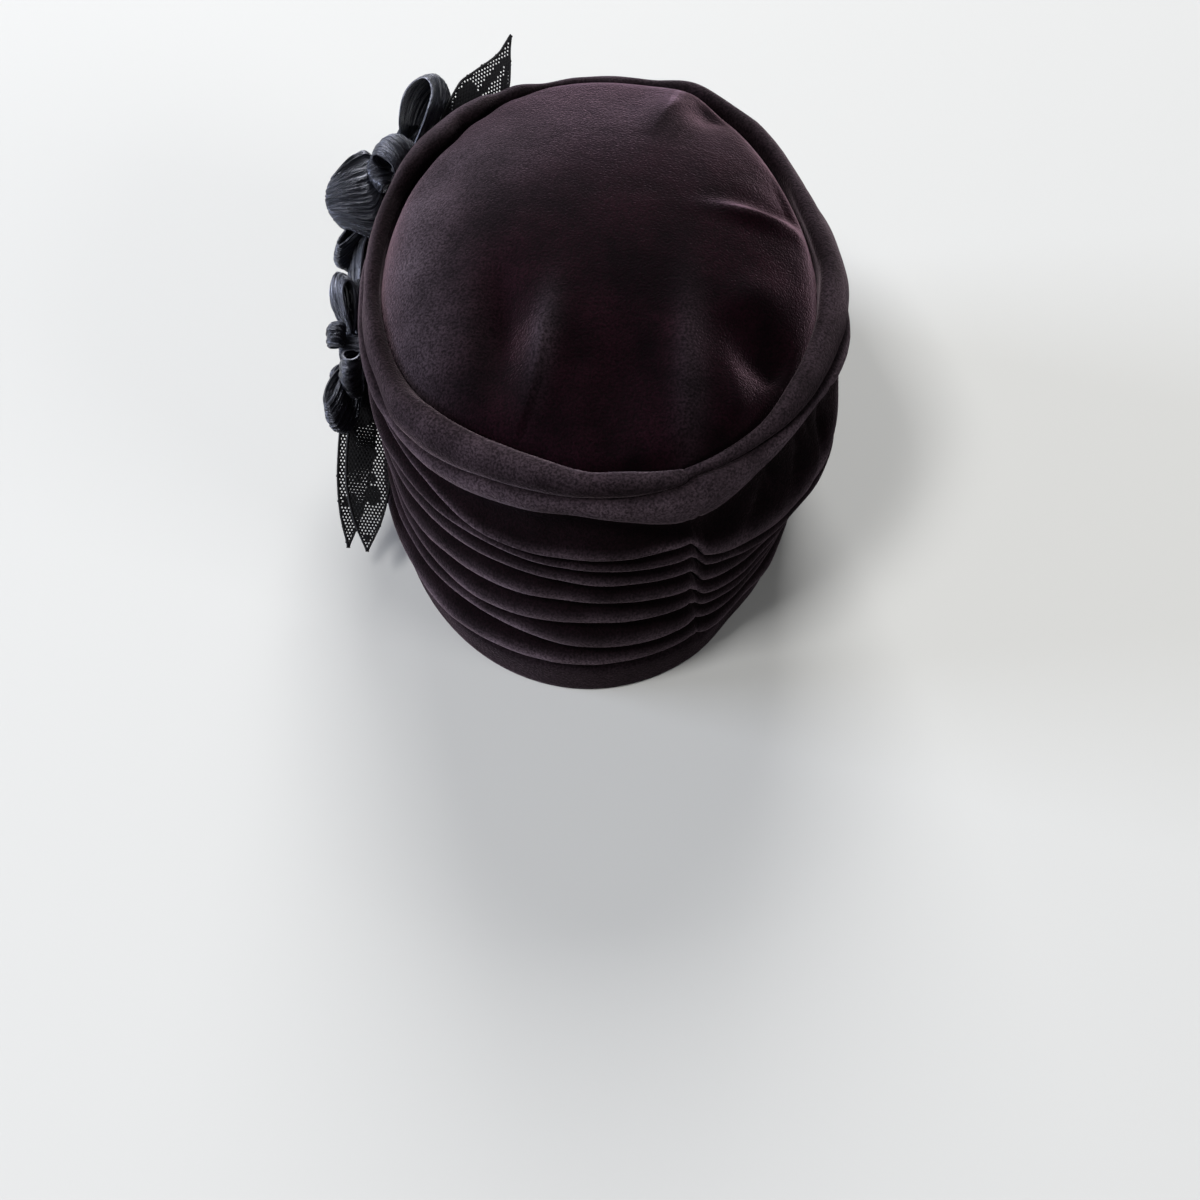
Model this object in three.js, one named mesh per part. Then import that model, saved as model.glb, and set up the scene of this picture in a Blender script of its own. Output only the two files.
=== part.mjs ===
// A velvet toque: a soft domed crown panel, a side drape laid in near-horizontal folds with one join,
// a plain hem band, and a trim of two looped ribbon blossoms with lace leaves on the wearer's left.
// Millimetres, +Z up, rim on z = 0. The wearer faces -Y, so the wearer's left is +X and the back is +Y.
import * as THREE from 'three';

// Level rings of the side wall. fall is the drop of the ring for each millimetre towards the back.
const RIM = { height: 0, halfWidth: 80, halfLength: 106, centreY: 0, fall: 0 };
const WAIST = { height: 40, halfWidth: 82.6, halfLength: 103.3, centreY: -2.6, fall: 0.024 };
const BULGE = { height: 84, halfWidth: 85.6, halfLength: 102.7, centreY: -6.9, fall: 0.051 };
const SEAM = { height: 108, halfWidth: 73.7, halfLength: 86, centreY: -2.6, fall: 0.06 };
const SHOULDER_ARC = 30;                          // length of cloth from the bulge over to the crown seam
const SEAM_UP = BULGE.height + SHOULDER_ARC;      // distance up the wall at the crown seam

// Side drape. Depths are measured outwards from the level rings above.
const DRAPE_COLUMNS = 60;
const GROOVE_OUT = -3.2;
const DRAPE_INNER_OUT = -4.6;
const DRAPE_INNER_ROWS = [80, 96, 106, 113];
const DRAPE_EDGE_RISE = 0.6;                      // rise of the bottom edge from its outside to its inside
const FOLD_WIDTH = 2.4;                           // width in depths at which a fold has its full depth
const FOLD_DEPTH_SHARE = { least: 0.25, most: 1.15 };
const JOIN = { topAngle: 113, bottomAngle: 124, halfAngle: 5, pinch: 0.5, crease: 0.9 };

// Sections across one fold: how far along from its upper groove to its lower one, and how far out.
const ROLL = [
  { along: 0, out: 0 }, { along: 0.2, out: 0.72 }, { along: 0.5, out: 1 }, { along: 0.84, out: 0.78 },
];
const PLEAT = [
  { along: 0, out: 0 }, { along: 0.42, out: 0.5 }, { along: 0.76, out: 1 }, { along: 0.98, out: 0.62 },
];
const HOLLOW = [
  { along: 0, out: 0 }, { along: 0.3, out: -0.1 }, { along: 0.62, out: 0.3 },
  { along: 0.84, out: 1 }, { along: 0.98, out: 0.62 },
];

// Stations round the hat, in degrees from the wearer's left towards the back.
const STATIONS = {
  left: 0, leftBack: 45, backLeft: 70, back: 90, joinNear: 110, joinFar: 124, rightBack: 145, right: 180,
  rightFront: 225, front: 270, leftFront: 315,
};

// Folds from the crown seam down. Each column gives the distance up the wall of the groove under the fold.
const FOLDS = [
  { section: ROLL, depth: 4, left: 97, leftBack: 95, backLeft: 103, back: 104.5, joinNear: 108,
    joinFar: 107.5, rightBack: 100.5, right: 97, rightFront: 100, front: 102, leftFront: 99 },
  { section: ROLL, depth: 4.2, left: 84, leftBack: 86.5, backLeft: 95, back: 99, joinNear: 92, joinFar: 91,
    rightBack: 96.5, right: 88, rightFront: 86, front: 90, leftFront: 88 },
  { section: HOLLOW, depth: 4, left: 74, leftBack: 79, backLeft: 75.5, back: 74, joinNear: 73, joinFar: 65,
    rightBack: 64, right: 73, rightFront: 77, front: 75, leftFront: 73 },
  { section: PLEAT, depth: 3.4, left: 65, leftBack: 72, backLeft: 69, back: 67, joinNear: 66.5, joinFar: 56,
    rightBack: 54, right: 63, rightFront: 66, front: 67, leftFront: 63 },
  { section: PLEAT, depth: 3.5, left: 55, leftBack: 60.5, backLeft: 62, back: 58.5, joinNear: 59.5,
    joinFar: 47, rightBack: 45, right: 52, rightFront: 57, front: 54, leftFront: 52 },
  { section: PLEAT, depth: 3.7, left: 45, leftBack: 48, backLeft: 47, back: 49, joinNear: 51, joinFar: 38.5,
    rightBack: 37.5, right: 42, rightFront: 44, front: 45, leftFront: 43 },
  { section: PLEAT, depth: 3.4, left: 36, leftBack: 38, backLeft: 36.5, back: 39.5, joinNear: 42, joinFar: 31,
    rightBack: 29, right: 32, rightFront: 35, front: 33, leftFront: 35 },
  { section: PLEAT, depth: 3.4, left: 25, leftBack: 30, backLeft: 26.5, back: 25, joinNear: 23, joinFar: 22,
    rightBack: 19, right: 21, rightFront: 24, front: 25, leftFront: 22 },
  { section: PLEAT, depth: 3.8, left: 14, leftBack: 12, backLeft: 12, back: 15, joinNear: 14, joinFar: 10.5,
    rightBack: 9.5, right: 11, rightFront: 13, front: 14, leftFront: 12 },
];

// Hem band: it hangs plain below the lowest fold and tucks in behind it.
const HEM = { columns: 48, thickness: 1.8, out: -0.4, tuckedOut: -5.2, tuckStart: 6.5, tuckEnd: 1, top: 24 };
const HEM_TUCK_ROWS = [0, 0.33, 0.67, 1];         // shares of the way down the tuck

// Crown panel: a dome with a rounded edge that laps under the top of the drape.
const CROWN = {
  columns: 56, thickness: 1.6, dome: 20, edgeDip: 5.7, edgeSharpness: 8, lap: 1.03, lapDrop: 2.3,
  dentFade: 0.86,
};
const CROWN_OUTER_ROWS = [0.14, 0.3, 0.45, 0.58, 0.7, 0.8, 0.88, 0.94, 0.98, 1];
const CROWN_INNER_ROWS = [1, 0.96, 0.86, 0.7, 0.48, 0.24];

// Dents (height below 0) and soft ridges (above 0) of the crown, each an oval turned from the X axis.
const DENTS = [
  { x: 31, y: 48, along: 20, across: 7, turn: 95, height: -4.5 },
  { x: 16, y: 50, along: 15, across: 6, turn: 85, height: 2.6 },
  { x: -7, y: 55, along: 22, across: 10, turn: 90, height: -1.8 },
  { x: -28, y: 50, along: 26, across: 6, turn: 92, height: 2.2 },
  { x: -53, y: 36, along: 12, across: 8, turn: 150, height: -5.5 },
  { x: -45, y: 57, along: 12, across: 5, turn: 100, height: 1.4 },
  { x: -50, y: 17, along: 12, across: 7, turn: 40, height: 1.4 },
  { x: -51, y: -17, along: 17, across: 5, turn: 8, height: 1.6 },
  { x: -62, y: -38, along: 14, across: 8, turn: 60, height: -3.4 },
  { x: -20, y: -64, along: 18, across: 7, turn: 72, height: 1.6 },
  { x: -34, y: -74, along: 12, across: 7, turn: 60, height: -2 },
  { x: 57, y: -27, along: 12, across: 7, turn: 80, height: -1.6 },
];

// Blossoms sit on the wall at an angle round the hat and a distance up it.
const BLOSSOMS = {
  front: { angle: 327, up: 80, stand: 1.2 },
  back: { angle: 4, up: 54, stand: 1.3 },
};
const KNOT = { radius: 5.7, height: 20, sides: 8 };
const KNOT_PROFILE = [
  { radius: 0.6, out: 1 }, { radius: 0.95, out: 0.86 }, { radius: 1, out: 0.5 }, { radius: 0.97, out: 0 },
];
const PETAL = {
  thickness: 1, baseRadius: 6.1, baseWidth: 4.4, steps: 8, fan: 0.85, cup: 1.4, tipRound: 0.42,
  tipSharpness: 4,
};
const BROAD = [-1, -0.5, 0, 0.5, 1];              // places across a piece, as shares of its half width
const NARROW = [-1, 0, 1];

// Petals: turn is 0 towards the back of the hat, 90 up and 180 towards the front. floor is the
// clearance of the loop's under layer from the wall, height the loop's own height, lift its slope.
const PETALS = [
  { blossom: 'front', turn: 78, length: 27, width: 27, floor: 2.6, height: 5, lift: 2, across: BROAD },
  { blossom: 'front', turn: 200, length: 32, width: 34, floor: 2.6, height: 5, lift: 2, across: BROAD },
  { blossom: 'front', turn: 318, length: 31, width: 33, floor: 2.6, height: 5, lift: 2, across: BROAD },
  { blossom: 'front', turn: 16, length: 37, width: 34, floor: 8.6, height: 6, lift: 8, across: BROAD },
  { blossom: 'front', turn: 141, length: 39, width: 29, floor: 8.6, height: 6, lift: 5, across: BROAD },
  { blossom: 'front', turn: 258, length: 34, width: 35, floor: 8.6, height: 6, lift: 8, across: BROAD },
  { blossom: 'front', turn: 60, length: 17, width: 11, floor: 15.8, height: 4.5, lift: 20, across: NARROW },
  { blossom: 'front', turn: 180, length: 17, width: 11, floor: 15.8, height: 4.5, lift: 20, across: NARROW },
  { blossom: 'front', turn: 300, length: 17, width: 11, floor: 15.8, height: 4.5, lift: 20, across: NARROW },
  { blossom: 'back', turn: 58, length: 26, width: 22, floor: 2.4, height: 4, lift: 0, across: BROAD },
  { blossom: 'back', turn: 122, length: 39, width: 24, floor: 2.4, height: 4, lift: 2, across: BROAD },
  { blossom: 'back', turn: 200, length: 30, width: 30, floor: 2.4, height: 4, lift: 0, across: BROAD },
  { blossom: 'back', turn: 265, length: 29, width: 24, floor: 2.4, height: 4, lift: 0, across: BROAD },
  { blossom: 'back', turn: 24, length: 30, width: 25, floor: 8, height: 4.5, lift: 5, across: BROAD },
  { blossom: 'back', turn: 92, length: 29, width: 21, floor: 7.6, height: 4.5, lift: 6, across: BROAD },
  { blossom: 'back', turn: 160, length: 28, width: 25, floor: 7.6, height: 4.5, lift: 6, across: BROAD },
  { blossom: 'back', turn: 232, length: 30, width: 29, floor: 7.6, height: 4.5, lift: 6, across: BROAD },
  { blossom: 'back', turn: 76, length: 16, width: 10, floor: 13.2, height: 4, lift: 14, across: NARROW },
  { blossom: 'back', turn: 196, length: 16, width: 10, floor: 13.2, height: 4, lift: 14, across: NARROW },
  { blossom: 'back', turn: 316, length: 16, width: 10, floor: 12.6, height: 4, lift: 14, across: NARROW },
];

// The loop of a petal, from the knot over the top to the tip and back under: along as a share of
// the length from the knot, out as a share of the loop's height.
const LOOP = [
  { along: 0, out: 0.62 }, { along: 0.38, out: 0.98 }, { along: 0.76, out: 1 }, { along: 1, out: 0.5 },
  { along: 0.8, out: 0.06 }, { along: 0.4, out: 0.04 }, { along: 0, out: 0.1 },
];

// Lace leaves: rise is how far the tip stands off the wall plane, twist how far the tip is turned.
const LEAF = {
  thickness: 0.8, baseRadius: 6.1, baseWidth: 5, steps: 10, widest: 0.5, tipWidth: 0.6, twistStart: 0.2,
  twistEnd: 0.8,
};
const LEAVES = {
  upper: { blossom: 'front', turn: 152, length: 66, width: 28, start: 0.4, rise: 0, twist: 0 },
  lower_1: { blossom: 'back', turn: -43, length: 67, width: 18, start: 4, rise: 5.5, twist: 60 },
  lower_2: { blossom: 'back', turn: -39, length: 68, width: 20, start: 0.2, rise: 3.5, twist: 62 },
};

const VELVET = { color: '#1d1319', roughness: 0.95, metalness: 0 };
const RIBBON = { color: '#17171b', roughness: 0.4, metalness: 0 };
const LACE = { color: '#1c1c1e', roughness: 0.8, metalness: 0 };

const QUARTER = Math.PI / 2;
const SLOPE_STEP = 0.01;                          // step over which the slope of the wall is taken
const { degToRad: radians, radToDeg: degrees, euclideanModulo: wrap } = THREE.MathUtils;
const { smoothstep: smooth, lerp, clamp } = THREE.MathUtils;

// Ring sizes at a distance up the wall: a parabola through the three lower rings, then a quarter
// ellipse over the shoulder from the bulge to the crown seam.
function ringAt(up) {
  const mix = (weight) => Object.fromEntries(Object.keys(RIM).map((key) => [key, weight(key)]));
  if (up <= BULGE.height) {
    const [a, b, c] = [RIM.height, WAIST.height, BULGE.height];
    const rim = ((up - b) * (up - c)) / ((a - b) * (a - c));
    const waist = ((up - a) * (up - c)) / ((b - a) * (b - c));
    const bulge = ((up - a) * (up - b)) / ((c - a) * (c - b));
    return mix((key) => rim * RIM[key] + waist * WAIST[key] + bulge * BULGE[key]);
  }
  const turn = QUARTER * ((up - BULGE.height) / SHOULDER_ARC);
  const inward = 1 - Math.cos(turn);
  const ring = mix((key) => BULGE[key] + (SEAM[key] - BULGE[key]) * inward);
  ring.height = BULGE.height + (SEAM.height - BULGE.height) * Math.sin(turn);
  return ring;
}

function ringPoint(ring, angle, scale = 1) {
  const x = scale * ring.halfWidth * Math.cos(angle);
  const y = ring.centreY + scale * ring.halfLength * Math.sin(angle);
  return new THREE.Vector3(x, y, ring.height - ring.fall * y);
}

// Point of the side wall, moved outwards along the wall's normal.
function wallPoint(angle, up, out) {
  const point = ringPoint(ringAt(up), angle);
  const round = ringPoint(ringAt(up), angle + SLOPE_STEP).sub(point);
  const rise = point.clone().sub(ringPoint(ringAt(up - SLOPE_STEP), angle));
  return point.addScaledVector(round.cross(rise).normalize(), out);
}

// Value of a table row at an angle: a smooth closed curve through the row's stations.
const STATION_NAMES = Object.keys(STATIONS);
function rowAt(row, angle) {
  const count = STATION_NAMES.length;
  const spot = wrap(degrees(angle), 360);
  const nameAt = (k) => STATION_NAMES[wrap(k, count)];
  const placeAt = (k) => STATIONS[nameAt(k)] + 360 * Math.floor(k / count);
  const valueAt = (k) => row[nameAt(k)];
  const k = STATION_NAMES.findLastIndex((name) => STATIONS[name] <= spot);
  const span = placeAt(k + 1) - placeAt(k);
  const slope = (j) => (valueAt(j + 1) - valueAt(j - 1)) / (placeAt(j + 1) - placeAt(j - 1));
  const t = (spot - placeAt(k)) / span;
  const bend = t * t * (3 - 2 * t);
  const start = t * (1 - t) * (1 - t) * span * slope(k);
  const end = t * t * (1 - t) * span * slope(k + 1);
  return lerp(valueAt(k), valueAt(k + 1), bend) + start - end;
}

const seamRow = Object.fromEntries(STATION_NAMES.map((name) => [name, SEAM_UP]));
const lowestGroove = FOLDS.at(-1);

// Closed skin over a stack of rings with equal counts; a ring of one point closes an end.
// looped joins the last ring to the first.
function skin(rings, looped = false) {
  const points = rings.flat().flatMap((p) => p.toArray());
  const starts = rings.map((_, i) => rings.slice(0, i).flat().length);
  const faces = [];
  const last = looped ? rings.length : rings.length - 1;
  for (let i = 0; i < last; i += 1) {
    const next = (i + 1) % rings.length;
    const count = Math.max(rings[i].length, rings[next].length);
    for (let j = 0; j < count; j += 1) {
      const upper = (k) => starts[i] + (rings[i].length === 1 ? 0 : k % count);
      const lower = (k) => starts[next] + (rings[next].length === 1 ? 0 : k % count);
      if (rings[next].length > 1) faces.push(upper(j), lower(j), lower(j + 1));
      if (rings[i].length > 1) faces.push(upper(j), lower(j + 1), upper(j + 1));
    }
  }
  const geometry = new THREE.BufferGeometry();
  geometry.setAttribute('position', new THREE.Float32BufferAttribute(points, 3));
  geometry.setIndex(faces);
  return geometry;
}

function around(columns, pointAt) {
  return Array.from({ length: columns }, (_, j) => pointAt((4 * QUARTER * j) / columns));
}

// Side drape: fold after fold from the crown seam down, then up the plain inner face.
function sideDrape() {
  const foldDepth = (fold, width) => {
    const share = width / (FOLD_WIDTH * fold.depth);
    return fold.depth * clamp(share, FOLD_DEPTH_SHARE.least, FOLD_DEPTH_SHARE.most);
  };
  const joinShare = (angle, up) => {
    const joinAngle = lerp(JOIN.bottomAngle, JOIN.topAngle, up / SEAM_UP);
    const away = (degrees(angle) - joinAngle) / JOIN.halfAngle;
    return Math.exp(-away * away);
  };
  const foldPoint = (fold, above, spot) => (angle) => {
    const high = rowAt(above, angle);
    const low = rowAt(fold, angle);
    const up = lerp(high, low, spot.along);
    const share = joinShare(angle, up);
    const lip = spot.out * foldDepth(fold, high - low) * (1 - JOIN.pinch * share);
    return wallPoint(angle, up, GROOVE_OUT + lip - JOIN.crease * share * Math.max(spot.out, 0));
  };
  const outer = FOLDS.flatMap((fold, i) => {
    const above = i ? FOLDS[i - 1] : seamRow;
    return fold.section.map((spot) => around(DRAPE_COLUMNS, foldPoint(fold, above, spot)));
  });
  const edgePoint = (rise, out) => (angle) => wallPoint(angle, rowAt(lowestGroove, angle) + rise, out);
  const innerPoint = (up) => (angle) => wallPoint(angle, up, DRAPE_INNER_OUT);
  return skin([
    ...outer,
    around(DRAPE_COLUMNS, edgePoint(0, GROOVE_OUT)),
    around(DRAPE_COLUMNS, edgePoint(DRAPE_EDGE_RISE, DRAPE_INNER_OUT)),
    ...DRAPE_INNER_ROWS.map((up) => around(DRAPE_COLUMNS, innerPoint(up))),
  ], true);
}

// Hem band: plain and upright below, drawn in behind the lowest fold above.
function hemBand() {
  const hemPoint = (upAt, depth) => (angle) => {
    const groove = rowAt(lowestGroove, angle);
    const up = upAt(groove);
    const tuck = smooth(up, groove - HEM.tuckStart, groove - HEM.tuckEnd);
    const point = wallPoint(angle, up, lerp(HEM.out, HEM.tuckedOut, tuck) - depth);
    if (up === 0) point.z = 0;
    return point;
  };
  const top = () => HEM.top;
  const rim = () => 0;
  const tucked = (share) => (groove) => groove - lerp(HEM.tuckEnd, HEM.tuckStart, share);
  const face = (places, depth) => places.map((up) => around(HEM.columns, hemPoint(up, depth)));
  const outer = face([top, ...HEM_TUCK_ROWS.map(tucked), rim], 0);
  const inner = face([rim, tucked(1), tucked(0), top], HEM.thickness);
  return skin([...outer, ...inner], true);
}

// Crown panel: dome, dents and a rounded edge; beyond the seam it laps under the drape.
function crownPanel() {
  const dentAt = (x, y) => DENTS.reduce((sum, dent) => {
    const turn = radians(dent.turn);
    const along = ((x - dent.x) * Math.cos(turn) + (y - dent.y) * Math.sin(turn)) / dent.along;
    const across = ((y - dent.y) * Math.cos(turn) - (x - dent.x) * Math.sin(turn)) / dent.across;
    return sum + dent.height * Math.exp(-along * along - across * across);
  }, 0);
  const crownPoint = (share, depth) => (angle) => {
    const point = ringPoint(SEAM, angle, share);
    const inside = Math.min(share, 1);
    const edge = CROWN.edgeDip * inside ** CROWN.edgeSharpness;
    const lapDrop = CROWN.lapDrop * smooth(share, 1, CROWN.lap);
    const fade = 1 - smooth(share, CROWN.dentFade, 1);
    point.z += CROWN.dome * (1 - inside * inside) - edge - lapDrop + dentAt(point.x, point.y) * fade - depth;
    return point;
  };
  const ring = (share, depth) => around(CROWN.columns, crownPoint(share, depth));
  return skin([
    [crownPoint(0, 0)(0)],
    ...CROWN_OUTER_ROWS.map((share) => ring(share, 0)),
    ring(CROWN.lap, 0),
    ring(CROWN.lap, CROWN.thickness),
    ...CROWN_INNER_ROWS.map((share) => ring(share, CROWN.thickness)),
    [crownPoint(0, CROWN.thickness)(0)],
  ]);
}

// Frame of a blossom: origin on the wall, out from the wall, back round the hat and up.
function blossomFrame({ angle, up, stand }) {
  const origin = wallPoint(radians(angle), up, stand);
  const out = origin.clone().sub(wallPoint(radians(angle), up, 0)).setZ(0).normalize();
  const rise = new THREE.Vector3(0, 0, 1);
  return { origin, out, rise, back: rise.clone().cross(out) };
}

// Directions of a piece that leaves the blossom at a turn: along it, across it and out.
function turnedAxes(frame, turn) {
  const along = frame.back.clone().multiplyScalar(Math.cos(radians(turn)));
  along.addScaledVector(frame.rise, Math.sin(radians(turn)));
  return { along, out: frame.out, across: frame.out.clone().cross(along) };
}

function place(origin, axes, along, across, out) {
  return origin.clone().addScaledVector(axes.along, along).addScaledVector(axes.across, across)
    .addScaledVector(axes.out, out);
}

// Skin over a row of sections, closed at both ends by their middle points.
function capped(rings) {
  const middle = (ring) => ring.reduce((sum, p) => sum.add(p), new THREE.Vector3()).divideScalar(ring.length);
  return skin([[middle(rings[0])], ...rings, [middle(rings.at(-1))]]);
}

// Petal: a ribbon loop that fans out from the knot, arched across its width.
function petal({ blossom, turn, length, width, floor, height, lift, across }) {
  const frame = blossomFrame(BLOSSOMS[blossom]);
  const axes = turnedAxes(frame, turn);
  const reach = length - PETAL.baseRadius;
  const path = new THREE.CatmullRomCurve3(LOOP.map((spot) => new THREE.Vector3(
    PETAL.baseRadius + reach * spot.along,
    floor + height * spot.out + Math.tan(radians(lift)) * reach * spot.along,
    0,
  )));
  const section = (t) => {
    const spot = path.getPoint(t);
    const tangent = path.getTangent(t);
    const fan = Math.sin(2 * QUARTER * t) ** PETAL.fan;
    const half = lerp(PETAL.baseWidth, width, fan) / 2;
    const pointAt = (share, side) => {
      const arch = PETAL.cup * fan * Math.max(tangent.x, 0) * (1 - share * share);
      const shift = arch + (side * PETAL.thickness) / 2;
      const rounding = PETAL.tipRound * half * fan ** PETAL.tipSharpness * share * share;
      const along = spot.x - tangent.y * shift - rounding;
      return place(frame.origin, axes, along, share * half, spot.y + tangent.x * shift);
    };
    return [...across.map((s) => pointAt(s, 1)), ...across.toReversed().map((s) => pointAt(s, -1))];
  };
  const rings = Array.from({ length: PETAL.steps + 1 }, (_, i) => section(i / PETAL.steps));
  return capped(rings);
}

// Leaf: a thin pointed blade that leaves the knot along the wall plane and turns on its own axis.
function laceLeaf({ blossom, turn, length, width, start, rise, twist }) {
  const frame = blossomFrame(BLOSSOMS[blossom]);
  const axes = turnedAxes(frame, turn);
  const section = (t) => {
    const along = lerp(LEAF.baseRadius, length, t);
    const opening = lerp(LEAF.baseWidth, width, Math.sin(QUARTER * (t / LEAF.widest)));
    const closing = lerp(LEAF.tipWidth, width, Math.cos(QUARTER * ((t - LEAF.widest) / (1 - LEAF.widest))));
    const half = (t < LEAF.widest ? opening : closing) / 2;
    const spin = radians(twist) * smooth(t, LEAF.twistStart, LEAF.twistEnd);
    const out = start + rise * t * t;
    const pointAt = (share, side) => {
      const across = share * half * Math.cos(spin) - side * (LEAF.thickness / 2) * Math.sin(spin);
      const lift = share * half * Math.sin(spin) + side * (LEAF.thickness / 2) * Math.cos(spin);
      return place(frame.origin, axes, along, across, out + lift);
    };
    return [...NARROW.map((s) => pointAt(s, 1)), ...NARROW.toReversed().map((s) => pointAt(s, -1))];
  };
  const rings = Array.from({ length: LEAF.steps + 1 }, (_, i) => section(i / LEAF.steps));
  return capped(rings);
}

// Knot: a short rounded stub of wound ribbon at the middle of a blossom.
function knot(blossom) {
  const frame = blossomFrame(BLOSSOMS[blossom]);
  const pointAt = (radius, out) => (angle) => {
    const axes = turnedAxes(frame, degrees(angle));
    return place(frame.origin, axes, KNOT.radius * radius, 0, KNOT.height * out);
  };
  const rings = KNOT_PROFILE.map(({ radius, out }) => around(KNOT.sides, pointAt(radius, out)));
  return capped(rings);
}

function named(name, geometry, look) {
  const mesh = new THREE.Mesh(geometry, new THREE.MeshStandardMaterial(look));
  mesh.name = name;
  return mesh;
}

const hat = new THREE.Group();
hat.add(named('crown_panel', crownPanel(), VELVET));
hat.add(named('side_drape', sideDrape(), VELVET));
hat.add(named('hem_band', hemBand(), VELVET));
for (const blossom of Object.keys(BLOSSOMS)) {
  hat.add(named(`${blossom}_blossom_knot`, knot(blossom), RIBBON));
  PETALS.filter((row) => row.blossom === blossom).forEach((row, i) => {
    hat.add(named(`${blossom}_blossom_petal_${i + 1}`, petal(row), RIBBON));
  });
}
for (const [name, leaf] of Object.entries(LEAVES)) {
  hat.add(named(`lace_leaf_${name}`, laceLeaf(leaf), LACE));
}

// The origin is the middle of the whole footprint, with the trim counted, at the level of the rim.
const footprint = new THREE.Box3().setFromObject(hat).getCenter(new THREE.Vector3());
hat.position.set(-footprint.x, -footprint.y, 0);

export default hat;
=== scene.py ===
import bpy
import numpy as np
from mathutils import Matrix, Vector


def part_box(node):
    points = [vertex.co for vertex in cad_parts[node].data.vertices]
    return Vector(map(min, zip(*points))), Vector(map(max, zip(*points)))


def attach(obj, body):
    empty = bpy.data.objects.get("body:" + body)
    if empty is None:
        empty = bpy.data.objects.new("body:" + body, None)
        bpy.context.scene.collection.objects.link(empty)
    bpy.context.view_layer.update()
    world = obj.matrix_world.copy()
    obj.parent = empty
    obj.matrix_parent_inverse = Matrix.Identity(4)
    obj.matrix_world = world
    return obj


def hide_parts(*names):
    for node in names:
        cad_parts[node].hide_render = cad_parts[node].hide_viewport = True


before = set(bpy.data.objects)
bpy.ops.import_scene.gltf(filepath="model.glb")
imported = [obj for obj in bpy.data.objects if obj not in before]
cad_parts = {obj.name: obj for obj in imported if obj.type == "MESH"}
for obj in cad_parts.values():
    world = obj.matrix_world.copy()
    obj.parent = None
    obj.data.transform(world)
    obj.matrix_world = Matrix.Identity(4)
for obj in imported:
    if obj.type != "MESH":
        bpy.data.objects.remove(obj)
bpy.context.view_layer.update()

MM = 0.001
QUARTER = np.pi / 2
FULL = 4 * QUARTER
RIM_LOW, RIM_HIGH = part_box("hem_band")
HAT_ORIGIN = np.array([(RIM_LOW.x + RIM_HIGH.x) / 2, (RIM_LOW.y + RIM_HIGH.y) / 2, 0.0])
NO_TRIANGLES = np.empty((0, 3), int)

# Camera in the hat's frame: where it stands and what it is aimed at, its roll in degrees, its lens and
# sensor, and the nearest and farthest it sees, in metres.
CAMERA = {"place": (-2.7, 299.1, 397.2), "aim": (-6.1, 101.7, 60.0), "roll": 4.85, "lens": 35.56,
          "sensor": 36.0, "near": 0.01, "far": 50}
# Square soft lights, in metres: name, place, side, power in watts, colour.
LIGHTS = [
    ("high_left", (2.3, 1.0, 4.0), 1.2, 140, "#ffffff"),
    ("far", (0.3, -3.5, 2.3), 1.9, 215, "#ffffff"),
    ("left", (3.9, -0.1, 1.0), 1.6, 190, "#e6edff"),
    ("right_fill", (-3.4, 1.5, 1.6), 1.6, 52, "#ffffff"),
]
LIGHT_AIM = (0, 0, 0.06)
# Floor, in metres: half its side, and how far it lies under the rim.
FLOOR_REACH, FLOOR_DROP = 6.0, 0.0003

# Level rings of the side wall: height, half width, half length, middle in y, and fall, which is the drop
# for each millimetre towards the back.
RIM = np.array([0, 80, 106, 0, 0.0])
WAIST = np.array([40, 82.6, 103.3, -2.6, 0.024])
BULGE = np.array([84, 85.6, 102.7, -6.9, 0.051])
SEAM = np.array([108, 73.7, 86, -2.6, 0.06])
# Way over the shoulder from the bulge to the crown seam, and the seam's mean distance up the wall.
SHOULDER_ARC = 30.0
SEAM_UP = BULGE[0] + SHOULDER_ARC
# Millimetres to a degree round the wall.
WALL_DEGREE = 1.5

# Sections across one fold, from its upper groove to its lower one: (share along, share out, painted light
# there, from 0 in the grooves, left in painted shade, to 1 on the lips, painted with a pale highlight).
ROLL = [(0, 0, 0), (0, 0.4, 0.06), (0.12, 0.82, 0.18), (0.4, 1, 0.5), (0.7, 0.97, 0.55),
        (0.92, 0.74, 0.36), (1.02, 0.4, 0.1), (1, 0, 0)]
RIDGE = [(0, 0, 0), (-0.03, 0.5, 0.05), (0.06, 0.9, 0.08), (0.24, 1.04, 0.18), (0.5, 1, 0.2),
         (0.75, 0.92, 0.17), (0.93, 0.7, 0.13), (1.02, 0.38, 0.06), (1, 0, 0)]
VALLEY = [(0, 0, 0.05), (0.06, 0.4, 0.1), (0.17, 0.72, 0.1), (0.34, 0.94, 0.17), (0.56, 1.02, 0.2),
          (0.78, 0.92, 0.17), (0.95, 0.62, 0.1), (1.02, 0.3, 0.05), (1, 0, 0)]
PLEAT = [(0, 0, 0), (0.06, -0.04, 0), (0.14, 0.02, 0), (0.22, 0.22, 0), (0.32, 0.58, 0), (0.44, 0.86, 0.02),
         (0.6, 1.02, 0.12), (0.8, 1.05, 0.55), (0.97, 0.94, 1), (1.07, 0.66, 0.5), (1.06, 0.3, 0.05),
         (1, 0, 0)]
HOLLOW = [(0, 0, 0.1), (0.16, -0.1, 0.02), (0.34, -0.13, 0), (0.52, 0.04, 0), (0.66, 0.44, 0),
          (0.8, 0.88, 0.08), (0.95, 1, 0.62), (1.05, 0.82, 0.8), (1.07, 0.45, 0.1), (1, 0, 0)]

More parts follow.
